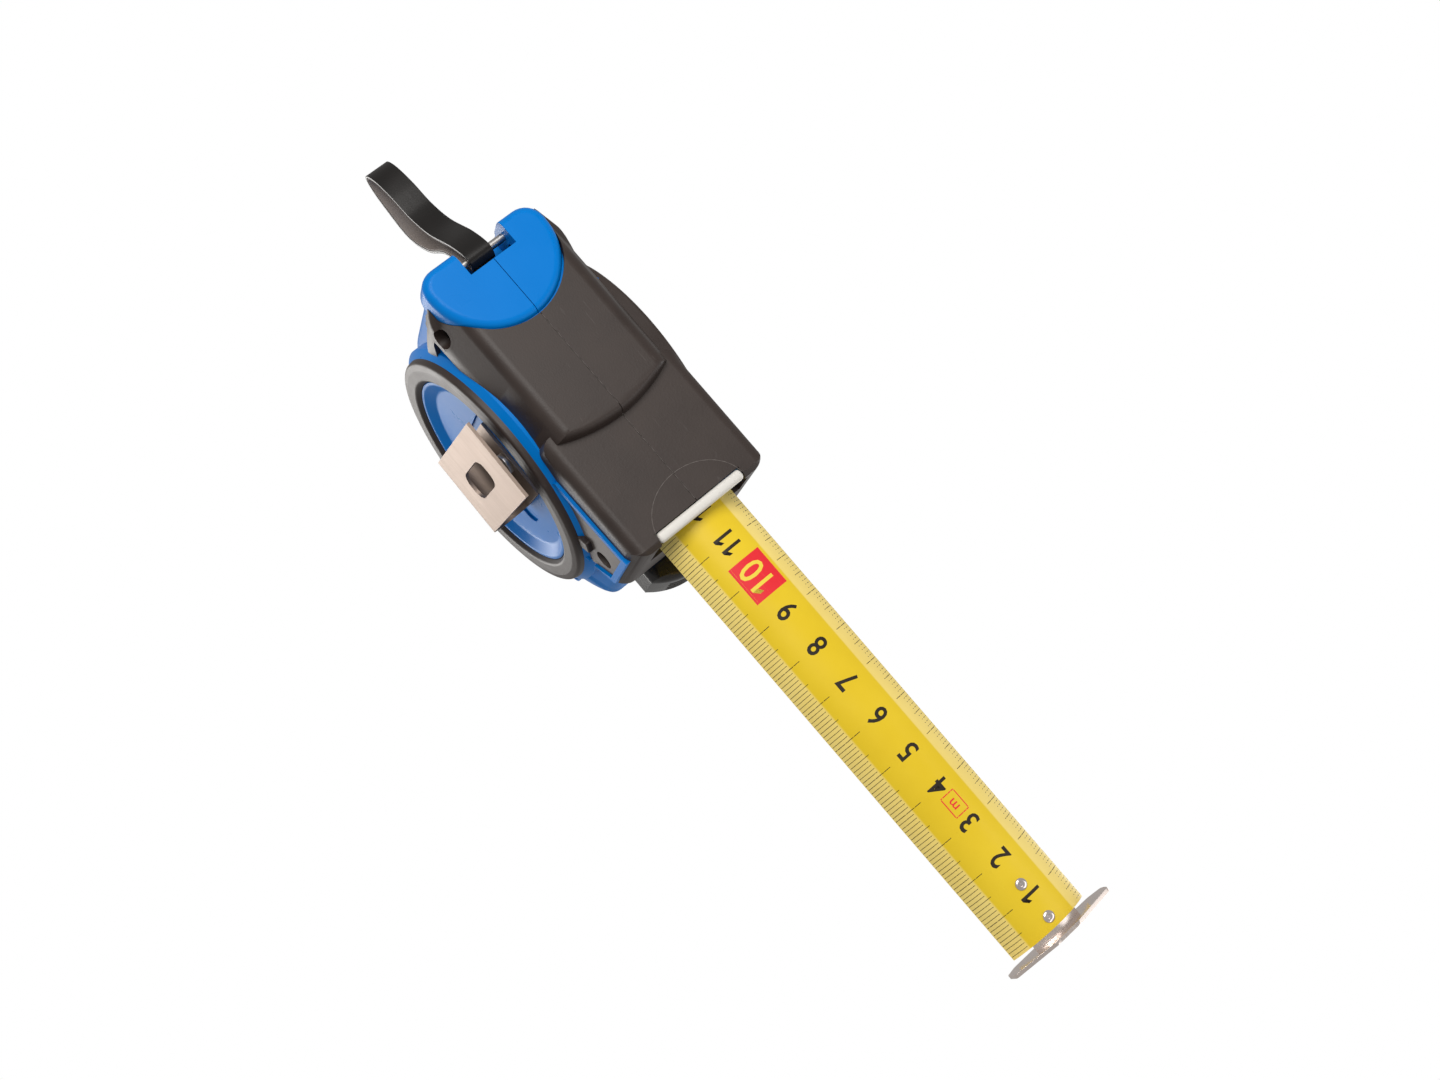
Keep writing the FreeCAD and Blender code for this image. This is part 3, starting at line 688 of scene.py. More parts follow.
def grip_half(side):
    """One rubber half: the case's skin under the rubber's upper line, cut open for cap, ring and mouth."""
    grip = hull("rubber_half_" + WORD[side], 0.0)
    corners = [(-80, -20), (80, -20), (80, 28.6), (39.4, 28.6), (39.2, 9.5), (14.5, 11.5), (-24.0, 12.3),
               (-31.0, 13.5), (-34.5, 13.5), (-34.5, -20)]
    line = metres(rounded_corners(corners, [0, 0, 0, 0, 2.4, 0, 0, 0, 2.0, 0]))
    worked(grip, "INTERSECT", slab("region", line, *span(side, -1 * MM, 40 * MM)))
    inner = hull("inner", SKIN + 0.01 * MM)
    band = plug("band", 0, AXIS_UP, BAND_RADIUS[side], *span(side, SHELL_SIDE + 0.02 * MM, 30 * MM), 96)
    cap_gap = standing_prism("cap_gap", cap_outline(0.12 * MM), -3 * MM, 14 * MM)
    worked(grip, "DIFFERENCE", inner, band, cap_gap, mouth_way(), strip_seat(), notch())
    spoke = [(-29.8, 8.0), (-26.4, 8.0), (-26.0, 15.0), (-23.6, 20.6), (-26.8, 24.0), (-28.4, 19.5),
             (-29.6, 14.0)]
    worked(grip, "UNION",
           slab("spoke", metres(spoke), *span(side, SHELL_SIDE + 0.05 * MM, HALF_WIDTH + 0.3 * MM)))
    if side == LEFT:
        lined_well(grip, 1, HALF_WIDTH + 0.5 * MM)
    worked(grip, "INTERSECT", half_space(side), hull("skin", -0.01 * MM))
    return finished(grip, 0.3 * MM)


grips = {side: grip_half(side) for side in (LEFT, RIGHT)}
for side, grip in grips.items():
    dressed(grip, rubber, "case", ["grip_" + WORD[side]])


def crown_pad():
    """Rubber palm pad over the crown, with cross ribs."""
    pad = hull("palm_pad", 0.0)
    worked(pad, "INTERSECT", brick("keep", mm(-26, 27), mm(-12, 12), mm(50, 100)))
    worked(pad, "DIFFERENCE", hull("inner", SKIN + 0.01 * MM))
    reach = 37.6 * MM
    grooves = []
    for number in range(9):
        angle = math.radians(62 + number * 7)
        groove = brick("groove", mm(-0.45, 0.45), mm(-9.5, 9.5), (0.0, 4 * MM))
        place = Matrix.Translation((reach * math.cos(angle), 0, AXIS_UP + reach * math.sin(angle)))
        groove.data.transform(place @ Matrix.Rotation(math.pi / 2 - angle, 4, "Y"))
        grooves.append(groove)
    worked(pad, "DIFFERENCE", *grooves)
    return finished(pad, 0.25 * MM)


dressed(crown_pad(), rubber, "case", ["crown_pad"])

# ------------------------------------------------------------------ seam flash
# A hair of squeezed-out rubber stands along the seam of the base and the front block, broken here and there,
# with a shallow half-round line round the mouth.

flash_pale = moulded_plastic("rubber_flash", (0.11, 0.095, 0.088), 0.6, 0.00001)


def fin(name, points, wide, high):
    """Thin uneven ridge standing down from a path of (X, Y, Z) points on the underside, in millimetres."""
    path = [mm(*point) for point in points]
    rows = []
    for number, place in enumerate(path):
        ahead, behind = path[min(number + 1, len(path) - 1)], path[max(number - 1, 0)]
        along = Vector((ahead[0] - behind[0], ahead[1] - behind[1], 0)).normalized()
        across = Vector((-along.y, along.x, 0)) * wide * (1 + 0.5 * math.sin(number * 2.3))
        top = Vector(place) + Vector((0, 0, 0.15 * MM))
        uneven = 0.4 + abs(math.sin(number * 1.7) * math.cos(number * 0.61))
        foot = Vector(place) - Vector((0, 0, high * uneven))
        rows.append([top - across, top + across, foot + across, foot - across])
    return lofted(name, rows)


SEAM_PATH = [(x, 0.0) for x in range(-14, 11)] + [(11.6, 0.2), (12.6, 0.8), (13.3, 1.8), (13.7, 2.8)]
SEAM_PATH = [(x, 0.0, z) for x, z in SEAM_PATH + [(x, 3.0) for x in range(14, 39)]]
MOUTH_TURNS = [math.radians(degrees) for degrees in range(-84, 85, 4)]
MOUTH_PATH = [(41.0 - 10.2 * math.cos(a), 12.3 * math.sin(a), 3.0) for a in MOUTH_TURNS]
dressed(fin("seam_flash", SEAM_PATH, 0.035 * MM, 0.09 * MM), flash_pale, "case", ())
dressed(fin("mouth_line", MOUTH_PATH, 0.05 * MM, 0.03 * MM), flash_pale, "case", ())

# ------------------------------------------------------------------ mouth strip and bumper
# An off-white nylon wear strip is pressed into the lower lip of the mouth. A rubber bumper over the blade
# takes the blow when the hook runs home.


def soft_brick(name, node_name, edge):
    """The frame's box of one node, drawn in a hair, with rounded edges."""
    low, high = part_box(node_name)
    shrink = 0.02 * MM
    obj = brick(name, *[(low[i] + shrink, high[i] - shrink) for i in range(3)])
    return finished(obj, edge, 4, 30)


nylon = moulded_plastic("off_white_nylon", (0.66, 0.64, 0.60), 0.42, 0.000006, 0.4, (0.72, 0.70, 0.66), 0.1)
dressed(soft_brick("wear_strip", "mouth_strip", 1.0 * MM), nylon, "case", ["mouth_strip"])
dressed(soft_brick("hook_bumper", "mouth_bumper", 0.5 * MM), rubber, "case", ["mouth_bumper"])

# ------------------------------------------------------------------ corner panels
# Thin grey-brown rubber panels fill the corners beside the mouth, inside the blue rib. The one on the clip
# side has the lined hole of a case screw.

panel_rubber = moulded_plastic("grey_brown_rubber", (0.075, 0.060, 0.053), 0.5, 0.00002, 0.4,
                               (0.10, 0.083, 0.075))


def corner_panel(side):
    """Flat panel set a little into the blue rib."""
    panel = slab("corner_panel_" + WORD[side], panel_line(-0.08 * MM),
                 *span(side, SHELL_SIDE + 0.03 * MM, HALF_WIDTH + 0.05 * MM))
    if side == LEFT:
        lined_well(panel, 0, HALF_WIDTH - 0.1 * MM)
    return finished(panel, 0.2 * MM)


for side, word in WORD.items():
    dressed(corner_panel(side), panel_rubber, "case", ["inlay_" + word])

# ------------------------------------------------------------------ side rings and dished discs
# A rounded rubber ring guards each side. Inside it a blue disc is dished, and on the clip side it has a sunk
# seat for the clip with a small key beside it.

RING_OUT, RING_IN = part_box("ring_left")[1][0], 25.4 * MM
RING_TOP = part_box("ring_left")[1][1]


def side_ring(side):
    """Rounded guard ring with a short lug on its outer edge, towards the corner panel."""
    base = HALF_WIDTH + 0.9 * MM if side == LEFT else SHELL_SIDE + 0.05 * MM
    crown = RING_TOP - 0.02 * MM
    corners = [(RING_IN, base), (PLINTH_NARROW + 0.1 * MM, base),
               (PLINTH_NARROW - 0.2 * MM, crown - 0.4 * MM), (RING_OUT - 1.4 * MM, crown),
               (RING_IN + 0.9 * MM, crown), (RING_IN, crown - 1.2 * MM)]
    radii = [0, 0, 1.0 * MM, 1.4 * MM, 0.9 * MM, 0.8 * MM]
    ring = turned("side_ring_" + WORD[side], rounded_corners(corners, radii), side)
    lug_corners = metres([(26.0, 27.1), (24.2, 23.9), (29.1, 21.2), (30.8, 24.2)])
    lug = slab("lug", rounded_corners(lug_corners, [0.5 * MM] * 4),
               *span(side, HALF_WIDTH - 0.5 * MM, HALF_WIDTH + 1.4 * MM), round_rim(0.4 * MM, 3))
    worked(ring, "UNION", lug)
    return finished(ring, 0.0)


def side_disc(side):
    """Dished disc with a flat rim, a sloping wall and a flat floor, and the clip's seat on the clip side."""
    rim, floor_y, back = RING_TOP - 1.0 * MM, SHELL_SIDE + 1.5 * MM, SHELL_SIDE + 0.05 * MM
    edge = RING_IN - 0.05 * MM
    profile = [(0, back), (edge, back), (edge, rim), (edge - 0.9 * MM, rim), (edge - 3.4 * MM, floor_y),
               (0, floor_y)]
    closed = rounded_corners(profile, [0, 0, 0.3 * MM, 0.8 * MM, 1.4 * MM, 0], 5)
    disc = turned("dished_disc_" + WORD[side], closed, side)
    if side == LEFT:
        seat_floor = SHELL_SIDE + 0.9 * MM
        seat_line = rounded_corners(metres([(-9.6, 16.5), (15.6, 16.5), (14.8, 47.0), (-11.0, 47.0)]),
                                    [1.5 * MM, 1.5 * MM, 3 * MM, 3 * MM])
        seat = slab("seat", seat_line, seat_floor, RING_TOP + 5 * MM)
        inside = plug("inside", 0, AXIS_UP, RING_IN - 0.9 * MM, seat_floor - MM, RING_TOP + 6 * MM, 96)
        worked(seat, "INTERSECT", inside)
        worked(disc, "DIFFERENCE", seat)
        key_line = rounded_corners(metres([(-8.4, 16.6), (-7.0, 16.6), (-7.0, 22.0), (-8.4, 22.0)]),
                                   [0.68 * MM] * 4)
        key = slab("key", key_line, seat_floor - 0.3 * MM, seat_floor + 1.3 * MM, round_rim(0.3 * MM, 3))
        worked(disc, "UNION", key)
        worked(disc, "DIFFERENCE", plug("bore", *centre_of("clip_screw"), 1.5 * MM, 0, 40 * MM))
    return finished(disc, 0.0)


for side, word in WORD.items():
    dressed(side_ring(side), rubber, "case", ["ring_" + word])
    dressed(side_disc(side), blue, "case", ["disc_" + word])

# ------------------------------------------------------------------ belt clip and its screw
# Spring-steel clip bent back on itself, with a round-ended window in its long leg. A screw holds its short
# leg in the disc's seat. Satin faces with faint rolling lines and smudges.


def rolled_steel_group():
    """Rolled sheet: fine lines in one direction and cloudy smudges."""
    group, given, result = new_group("rolled_steel", {"Line Scale": 60.0, "Cloud Scale": 120.0},
                                     ["Lines", "Clouds"])
    place = group.nodes.new("ShaderNodeTexCoord")
    stretch = node(group, "ShaderNodeMapping", Scale=(1.0, 40.0, 40.0))
    lines = node(group, "ShaderNodeTexNoise", Detail=4.0, Roughness=0.7)
    clouds = node(group, "ShaderNodeTexNoise", Detail=3.0, Roughness=0.5)
    wired(group, place, "Object", stretch, "Vector")
    wired(group, stretch, "Vector", lines, "Vector")
    wired(group, given, "Line Scale", lines, "Scale")
    wired(group, place, "Object", clouds, "Vector")
    wired(group, given, "Cloud Scale", clouds, "Scale")
    wired(group, lines, "Fac", result, "Lines")
    wired(group, clouds, "Fac", result, "Clouds")
    return group


rolled_steel = rolled_steel_group()


def sheet_metal(name, tint, rough):
    """Metal with rolling lines in its roughness and smudges in its colour."""
    made, shader = new_material(name, tint, rough, 1.0)
    tree = made.node_tree
    sheet = grouped(tree, rolled_steel)
    smudged = tint_between(tree, sheet.outputs["Clouds"], tuple(c * 0.8 for c in tint), tint)
    tree.links.new(smudged, shader.inputs["Base Color"])
    spread = math_node(tree, "MULTIPLY", sheet.outputs["Lines"], 0.24)
    tree.links.new(math_node(tree, "ADD", spread, rough - 0.12), shader.inputs["Roughness"])
    bumped(tree, sheet.outputs["Lines"], shader, 0.000004)
    return made


clip_steel = sheet_metal("satin_clip_steel", (0.31, 0.245, 0.205), 0.5)
screw_steel = sheet_metal("screw_steel", (0.50, 0.48, 0.46), 0.35)
dark_steel = sheet_metal("blackened_screw_steel", (0.035, 0.033, 0.032), 0.4)
SCREW_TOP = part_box("clip_screw")[1][1]
CLIP_AT = centre_of("clip_screw")
CLIP_HALF = 10.25 * MM


def along_x(obj):
    """Turns a slab so that its outline lies in the YZ plane and its thickness runs along X."""
    obj.data.transform(Matrix(((0, 1, 0, 0), (1, 0, 0, 0), (0, 0, 1, 0), (0, 0, 0, 1))))
    obj.data.flip_normals()
    return obj


def belt_clip():
    """Strip bent back on itself: a short leg in the disc's seat and a long leg that leans in."""
    face, reach, lip, thick = SHELL_SIDE + 0.92 * MM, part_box("belt_clip")[1][1], 27.4 * MM, 0.8 * MM
    foot, top, low = 6.8 * MM, 38.5 * MM, CLIP_AT[1] - 3.4 * MM
    bend, knee = (reach - face) / 2, ((lip + reach) / 2, (foot + top) / 2)
    centre = (face + bend, top)
    outline = [(lip, foot), knee] + arc_points(centre, bend, 0, 180, 28)
    outline += [(face, low), (face + thick, low)] + arc_points(centre, bend - thick, 180, 0, 28)
    outline += [(knee[0] - thick, knee[1]), (lip - thick, foot)]
    clip = along_x(slab("belt_clip_spring", outline, CLIP_AT[0] - CLIP_HALF, CLIP_AT[0] + CLIP_HALF))
    window = rounded_corners([(-3.5, -7.6), (3.5, -7.6), (3.5, 7.6), (-3.5, 7.6)], [2.9] * 4)
    window = [(CLIP_AT[0] + x * MM, (23.5 + z) * MM) for x, z in window]
    worked(clip, "DIFFERENCE", slab("window", window, 22 * MM, 42 * MM),
           plug("screw_hole", *CLIP_AT, 1.55 * MM, 10 * MM, 22 * MM))
    pivot = Vector((CLIP_AT[0], 0, CLIP_AT[1]))
    lean = Matrix.Rotation(math.radians(-5.5), 4, "Y")
    clip.data.transform(Matrix.Translation(pivot) @ lean @ Matrix.Translation(-pivot))
    return finished(clip, 0.12 * MM)


def pan_screw(name, x, z, shank, head, ends):
    """Screw along Y with a cross recess: shank and head radius, and the Y of its tip, head seat and crown."""
    tip, seat, crown = ends
    screw = plug(name, x, z, shank, tip, seat + 0.1 * MM, 32)
    disc = arc_points((x, z), head, 0, 352.5, 47)
    worked(screw, "UNION", slab("dome", disc, seat, crown, round_rim(0.05 * MM, 2)))
    deep = (crown - 0.8 * MM, crown + 1 * MM)
    for half_x, half_z in metres([(0.3, 1.35), (1.35, 0.3)]):
        worked(screw, "DIFFERENCE", brick("cross", (x - half_x, x + half_x), deep, (z - half_z, z + half_z)))
    return finished(screw, 0.14 * MM)


dressed(belt_clip(), clip_steel, "case", ["belt_clip"])
clip_screw = pan_screw("clip_fixing_screw", *CLIP_AT, 1.45 * MM, 2.55 * MM,
                       (SHELL_SIDE + 0.02 * MM, SHELL_SIDE + 1.75 * MM, SCREW_TOP))
dressed(clip_screw, screw_steel, "case", ["clip_screw"])

# ------------------------------------------------------------------ case screws
# Four blackened screws hold the halves together from the clip side, at the bottom of their wells: one in the
# corner panel, one in the rubber beside the tail cap and two in the blue of the crown.

screws_low, screws_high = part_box("case_screws")
screw_ends = (screws_low[1], screws_high[1] - 1.55 * MM, screws_high[1])
case_screws = [pan_screw("case_screw", *at, 1.2 * MM, 2.2 * MM, screw_ends) for at in SCREW_PLACES]
worked(case_screws[0], "UNION", *case_screws[1:])
case_screws[0].name = "case_screw_set"
dressed(case_screws[0], dark_steel, "case", ["case_screws"])

# ------------------------------------------------------------------ blade
# Cupped steel ribbon, lacquered yellow with paler margins, that leaves the mouth as a trough and flattens
# inside the case.

BLADE_THICK, BLADE_SAG, BLADE_CHORD = 0.3 * MM, 5.5 * MM, 21.4 * MM
BLADE_RADIUS = (BLADE_CHORD ** 2 / 4 + BLADE_SAG ** 2) / (2 * BLADE_SAG)
BLADE_CENTRE = 12.0 * MM - BLADE_SAG + BLADE_RADIUS
BLADE_START, BLADE_END = 1.0 * MM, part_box("tape_blade")[1][0]
HOOK_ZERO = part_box("end_hook")[1][0] - 0.9 * MM
LEAD = 15.0 * MM
PRINT_MIDDLE = -0.6 * MM


def cupped_row(x, half_chord, radius, centre_up, thick, count=30):
    """Ring of points round the cross-section of a cupped strip."""
    reach = math.asin(half_chord / radius)
    turns = [-reach + 2 * reach * i / count for i in range(count + 1)]
    outer = [(x, radius * math.sin(a), centre_up - radius * math.cos(a)) for a in turns]
    inner = radius - thick
    return outer + [(x, inner * math.sin(a), centre_up - inner * math.cos(a)) for a in reversed(turns)]


def blade():
    """Ribbon that is almost flat where it leaves the coil and fully cupped from the mouth on."""
    rows = []
    flat_radius, coil_low = 400.0 * MM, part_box("tape_blade")[1][2]
    flat_centre = coil_low - BLADE_THICK + flat_radius - 0.4 * MM
    for step in range(8):
        x = BLADE_START + (LEAD - BLADE_START) * step / 7
        share = (x - BLADE_START) / (LEAD - BLADE_START)
        first = cupped_row(x, 12.2 * MM, flat_radius, flat_centre, BLADE_THICK)
        last = cupped_row(x, BLADE_CHORD / 2, BLADE_RADIUS, BLADE_CENTRE, BLADE_THICK)
        rows.append([tuple(p + (q - p) * share for p, q in zip(a, b)) for a, b in zip(first, last)])
    for x in (40 * MM, 80 * MM, 120 * MM, BLADE_END):
        rows.append(cupped_row(x, BLADE_CHORD / 2, BLADE_RADIUS, BLADE_CENTRE, BLADE_THICK))
    return finished(lofted("measuring_blade", rows), 0.0)


def blade_lacquer():
    """Yellow lacquer: paler outside the middle band, with faint handling marks along the blade."""
    made, shader = new_material("yellow_blade_lacquer", (0.80, 0.58, 0.03), 0.32)
    tree = made.node_tree
    shader.inputs["Specular IOR Level"].default_value = 0.4
    place = tree.nodes.new("ShaderNodeTexCoord")
    parts = tree.nodes.new("ShaderNodeSeparateXYZ")
    wired(tree, place, "Object", parts, "Vector")
    across = math_node(tree, "ABSOLUTE", math_node(tree, "ADD", parts.outputs["Y"], PRINT_MIDDLE))
    beyond = math_node(tree, "SUBTRACT", across, 6.3 * MM)
    margin = math_node(tree, "MULTIPLY", beyond, 2500.0, True)
    skin = grouped(tree, moulded_skin, Patch_Scale=60.0)
    middle = tint_between(tree, skin.outputs["Patches"], (0.70, 0.48, 0.008), (0.80, 0.58, 0.022))
    pale = tint_between(tree, skin.outputs["Patches"], (0.80, 0.60, 0.135), (0.88, 0.71, 0.24))
    tree.links.new(tint_between(tree, margin, middle, pale), shader.inputs["Base Color"])
    uneven = math_node(tree, "MULTIPLY", skin.outputs["Patches"], 0.16)
    tree.links.new(math_node(tree, "ADD", uneven, 0.24), shader.inputs["Roughness"])
    bumped(tree, skin.outputs["Patches"], shader, 0.00004, 0.5)
    return made


def wound_in(obj):
    """Gives a piece of the blade its own copy of its mesh."""
    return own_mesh(obj)


wound_in(dressed(blade(), blade_lacquer(), "tape", ["tape_blade"]))

# ------------------------------------------------------------------ printed scale
# Millimetre ticks down both margins, a figure at every centimetre and a red flag at ten, printed on both
# faces of the blade as skins a few hundredths of a millimetre thick.

TEN = 10
FIGURE_HIGH = 5.3 * MM
TICK_EDGE = 12.35 * MM
INK = 0.012 * MM
CAPITAL_HIGH = 0.73
BELOW, ABOVE = -1, 1
FACE_WORD = {BELOW: "below", ABOVE: "above"}


def on_blade(x, across, lift, face):
    """Point at a place across the blade, lifted off its lower (-1) or upper (1) face."""
    radius = BLADE_RADIUS + lift if face < 0 else BLADE_RADIUS - BLADE_THICK - lift
    angle = across / BLADE_RADIUS
    return (x, radius * math.sin(angle), BLADE_CENTRE - radius * math.cos(angle))


def printed_bar(bm, face, x, across):
    """Rectangle of ink between two values of X and two places across, bent with the blade."""
    steps = max(1, round(abs(across[1] - across[0]) / (1.2 * MM)))
    rows = []
    for i in range(steps + 1):
        s = across[0] + (across[1] - across[0]) * i / steps
        rim = ((x[0], 0.0), (x[1], 0.0), (x[1], INK), (x[0], INK))
        rows.append([on_blade(px, s, up, face) for px, up in rim])
    loft_into(bm, rows)


def upright_strokes(flat):
    """Left side and top of each part of the lettering that is one plain upright stroke."""
    seen, found = set(), []
    for start in flat.verts:
        if start in seen:
            continue
        island, queue = {start}, [start]
        while queue:
            vert = queue.pop()
            fresh = {edge.other_vert(vert) for edge in vert.link_edges} - island
            island |= fresh
            queue += fresh
        seen |= island
        across, up = [v.co.x for v in island], [v.co.y for v in island]
        if max(across) - min(across) < 0.35 * (max(up) - min(up)):
            found.append((min(across), max(up)))
    return found


def add_flag(flat, left, top):
    """Slanted flag at the top of a 1."""
    corners = [(left, top), (left - 0.17, top - 0.13), (left - 0.17, top - 0.25), (left, top - 0.16)]
    loft_into(flat, [[(x, y, z) for x, y in corners] for z in (-0.5, 0.5)])


def printed_text(bm, face, text, x, across, high, narrow, bold, lift=(0.0, INK)):
    """Figure or letter of ink, reading from the hook towards the case."""
    curve = bpy.data.curves.new("figure", "FONT")
    curve.body = text
    curve.align_x, curve.align_y = "CENTER", "CENTER"
    curve.offset = bold
    curve.extrude = 0.5
    curve.resolution_u = 3
    letter = bpy.data.objects.new("figure", curve)
    bpy.context.collection.objects.link(letter)
    deps = bpy.context.evaluated_depsgraph_get()
    flat = bmesh.new()
    flat.from_mesh(bpy.data.meshes.new_from_object(letter.evaluated_get(deps)))
    bpy.data.objects.remove(letter)
    if "1" in text:
        for left, top in upright_strokes(flat):
            add_flag(flat, left, top)
    for cut in range(-4, 5):
        everything = flat.verts[:] + flat.edges[:] + flat.faces[:]
        bmesh.ops.bisect_plane(flat, geom=everything, plane_co=(0, cut * 0.12, 0), plane_no=(0, 1, 0))
    bmesh.ops.triangulate(flat, faces=flat.faces[:])
    scale = high / CAPITAL_HIGH
    fresh = {}
    for vert in flat.verts:
        right, rise, deep = vert.co
        spot = on_blade(x - right * scale * narrow, across - face * rise * scale, lift[deep > 0], face)
        fresh[vert] = bm.verts.new(spot)
    for part in flat.faces:
        bm.faces.new([fresh[vert] for vert in part.verts])
    flat.free()


def black_print(face):
    """Ticks at every millimetre, longer at five and ten, and the centimetre figures."""
    bm = bmesh.new()
    for count in range(1, int((HOOK_ZERO - LEAD) / MM)):
        x = HOOK_ZERO - count * MM
        kind = 2 if count % 10 == 0 else 1 if count % 5 == 0 else 0
        ink = (0.06, 0.065, 0.075)[kind] * MM
        if x + ink > BLADE_END:
            continue
        for side, reach in ((LEFT, (4.6, 5.6, 7.4)[kind]), (RIGHT, (3.0, 3.8, 5.2)[kind])):
            printed_bar(bm, face, (x - ink, x + ink), (side * TICK_EDGE, side * (TICK_EDGE - reach * MM)))
        if kind == 2 and count != 10 * TEN:
            printed_text(bm, face, str(count // 10), x, PRINT_MIDDLE, FIGURE_HIGH, 0.8, 0.015)
    return new_object("black_print_" + FACE_WORD[face], bm)


def red_print(face):
    """Flag behind the ten, and a small framed m between three and four."""
    bm = bmesh.new()
    ten = HOOK_ZERO - 10 * TEN * MM
    printed_bar(bm, face, (ten - 4.9 * MM, ten + 4.9 * MM), mm(-5.2, 3.9))
    middle, line, wide, tall, corner = HOOK_ZERO - 35.0 * MM, 0.12 * MM, 2.6 * MM, 1.9 * MM, 2.4 * MM
    for x in (middle - wide, middle + wide):
        printed_bar(bm, face, (x - line, x + line), (PRINT_MIDDLE - tall, PRINT_MIDDLE + tall))
    for s in (PRINT_MIDDLE - tall, PRINT_MIDDLE + tall):
        printed_bar(bm, face, (middle - corner, middle + corner), (s - line, s + line))
    printed_text(bm, face, "m", middle, PRINT_MIDDLE - face * 0.35 * MM, 2.4 * MM, 1.0, 0.01)
    return new_object("red_print_" + FACE_WORD[face], bm)


def yellow_print(face):
    """The ten, left yellow on its red flag."""
    bm = bmesh.new()
    printed_text(bm, face, str(TEN), HOOK_ZERO - 10 * TEN * MM, PRINT_MIDDLE, FIGURE_HIGH * 1.22, 0.8, 0.01,
                 (INK, 2 * INK))
    return new_object("yellow_print_" + FACE_WORD[face], bm)


black_ink = moulded_plastic("brown_black_ink", (0.016, 0.011, 0.006), 0.45, 0.000002, 0.3, (0.03, 0.02, 0.01))
red_ink = moulded_plastic("red_ink", (0.74, 0.02, 0.03), 0.4, 0.000002, 0.3, (0.78, 0.035, 0.045))
yellow_ink = moulded_plastic("yellow_ink", (0.80, 0.62, 0.06), 0.4, 0.000002, 0.3, (0.84, 0.66, 0.08))
for face in FACE_WORD:
    for ink, make in ((black_ink, black_print), (red_ink, red_print), (yellow_ink, yellow_print)):
        wound_in(dressed(make(face), ink, "tape"))

# ------------------------------------------------------------------ end hook and rivets
# Stamped steel hook: a cupped strap riveted in the blade's hollow and a flange turned down across the end,
# leaning forward a little. The rivets' slots let it slide by its own thickness.

hook_steel = sheet_metal("polished_hook_steel", (0.92, 0.81, 0.75), 0.22)
rivet_steel = sheet_metal("rivet_steel", (0.86, 0.78, 0.76), 0.2)
LEAN = math.tan(math.radians(7))


def end_hook():
    """Cupped strap with two slots, and the leaning flange across its end."""
    hook_radius = BLADE_RADIUS - BLADE_THICK - 0.12 * MM
    rows = [cupped_row(x, 6.5 * MM, hook_radius, BLADE_CENTRE, 0.8 * MM, 14)
            for x in (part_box("end_hook")[0][0], 150 * MM, HOOK_ZERO + 0.5 * MM)]
    hook = lofted("stamped_hook", rows)
    corners = [(-14.5, 6.3), (-3.5, 3.2), (3.5, 3.2), (14.5, 6.3), (14.5, 10.5), (11.5, 12.8), (-11.5, 12.8),
               (-14.5, 10.5)]
    flange_line = metres(rounded_corners(corners, [0.8, 1.0, 1.0, 0.8, 1.5, 2, 2, 1.5]))
    flange = along_x(slab("flange", spaced(flange_line, 1.2 * MM), HOOK_ZERO, HOOK_ZERO + 0.88 * MM))
    for vert in flange.data.vertices:
        vert.co.x += max(0.0, 8.2 * MM - vert.co.z) * LEAN
    worked(hook, "UNION", flange)
    for x in RIVETS:
        slot = brick("slot", (x - 1.9 * MM, x + 1.9 * MM), mm(-1, 1), (0, 12 * MM))
        worked(hook, "DIFFERENCE", slot)
    return finished(hook, 0.13 * MM)


RIVET_LOW, RIVET_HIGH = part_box("hook_rivets")
RIVETS = (RIVET_LOW[0] + 1.8 * MM, RIVET_HIGH[0] - 1.8 * MM)


def rivet(name, centre):
    """Hollow-ended rivet: dimpled dome below, shank through blade and hook, flat head above."""
    low, high = RIVET_LOW[2] / MM, RIVET_HIGH[2] / MM
    dome = [(0, 0.22), (0.35, 0.2), (0.55, 0.02), (0.8, 0), (1.15, 0.12), (1.34, 0.3), (1.35, 0.47),
            (0.88, 0.47)]
    head = [(0.88, -0.5), (1.78, -0.48), (1.7, -0.1), (1.2, 0), (0, 0)]
    profile = metres([(r, low + z) for r, z in dome] + [(r, high + z) for r, z in head])
    rows = [[(centre + x, y, up) for x, up, y in ring] for ring in rings_round(profile, 40)]
    return finished(lofted(name, rows), 0.0)


dressed(end_hook(), hook_steel, "hook", ["end_hook"])
rivet_pair = rivet("rivet_pair", RIVETS[0])
worked(rivet_pair, "UNION", rivet("second", RIVETS[1]))
dressed(rivet_pair, rivet_steel, "tape", ["hook_rivets"])

# ------------------------------------------------------------------ thumb lock
# Bulging glossy black button on the front wall, over the mouth, with a few grip ridges. Its lever runs inside
# to a pad that presses in the blade's hollow.

black_gloss = moulded_plastic("glossy_black_plastic", (0.010, 0.0095, 0.009), 0.22, 0.000004, 0.5,
                              (0.018, 0.016, 0.015), 0.1)


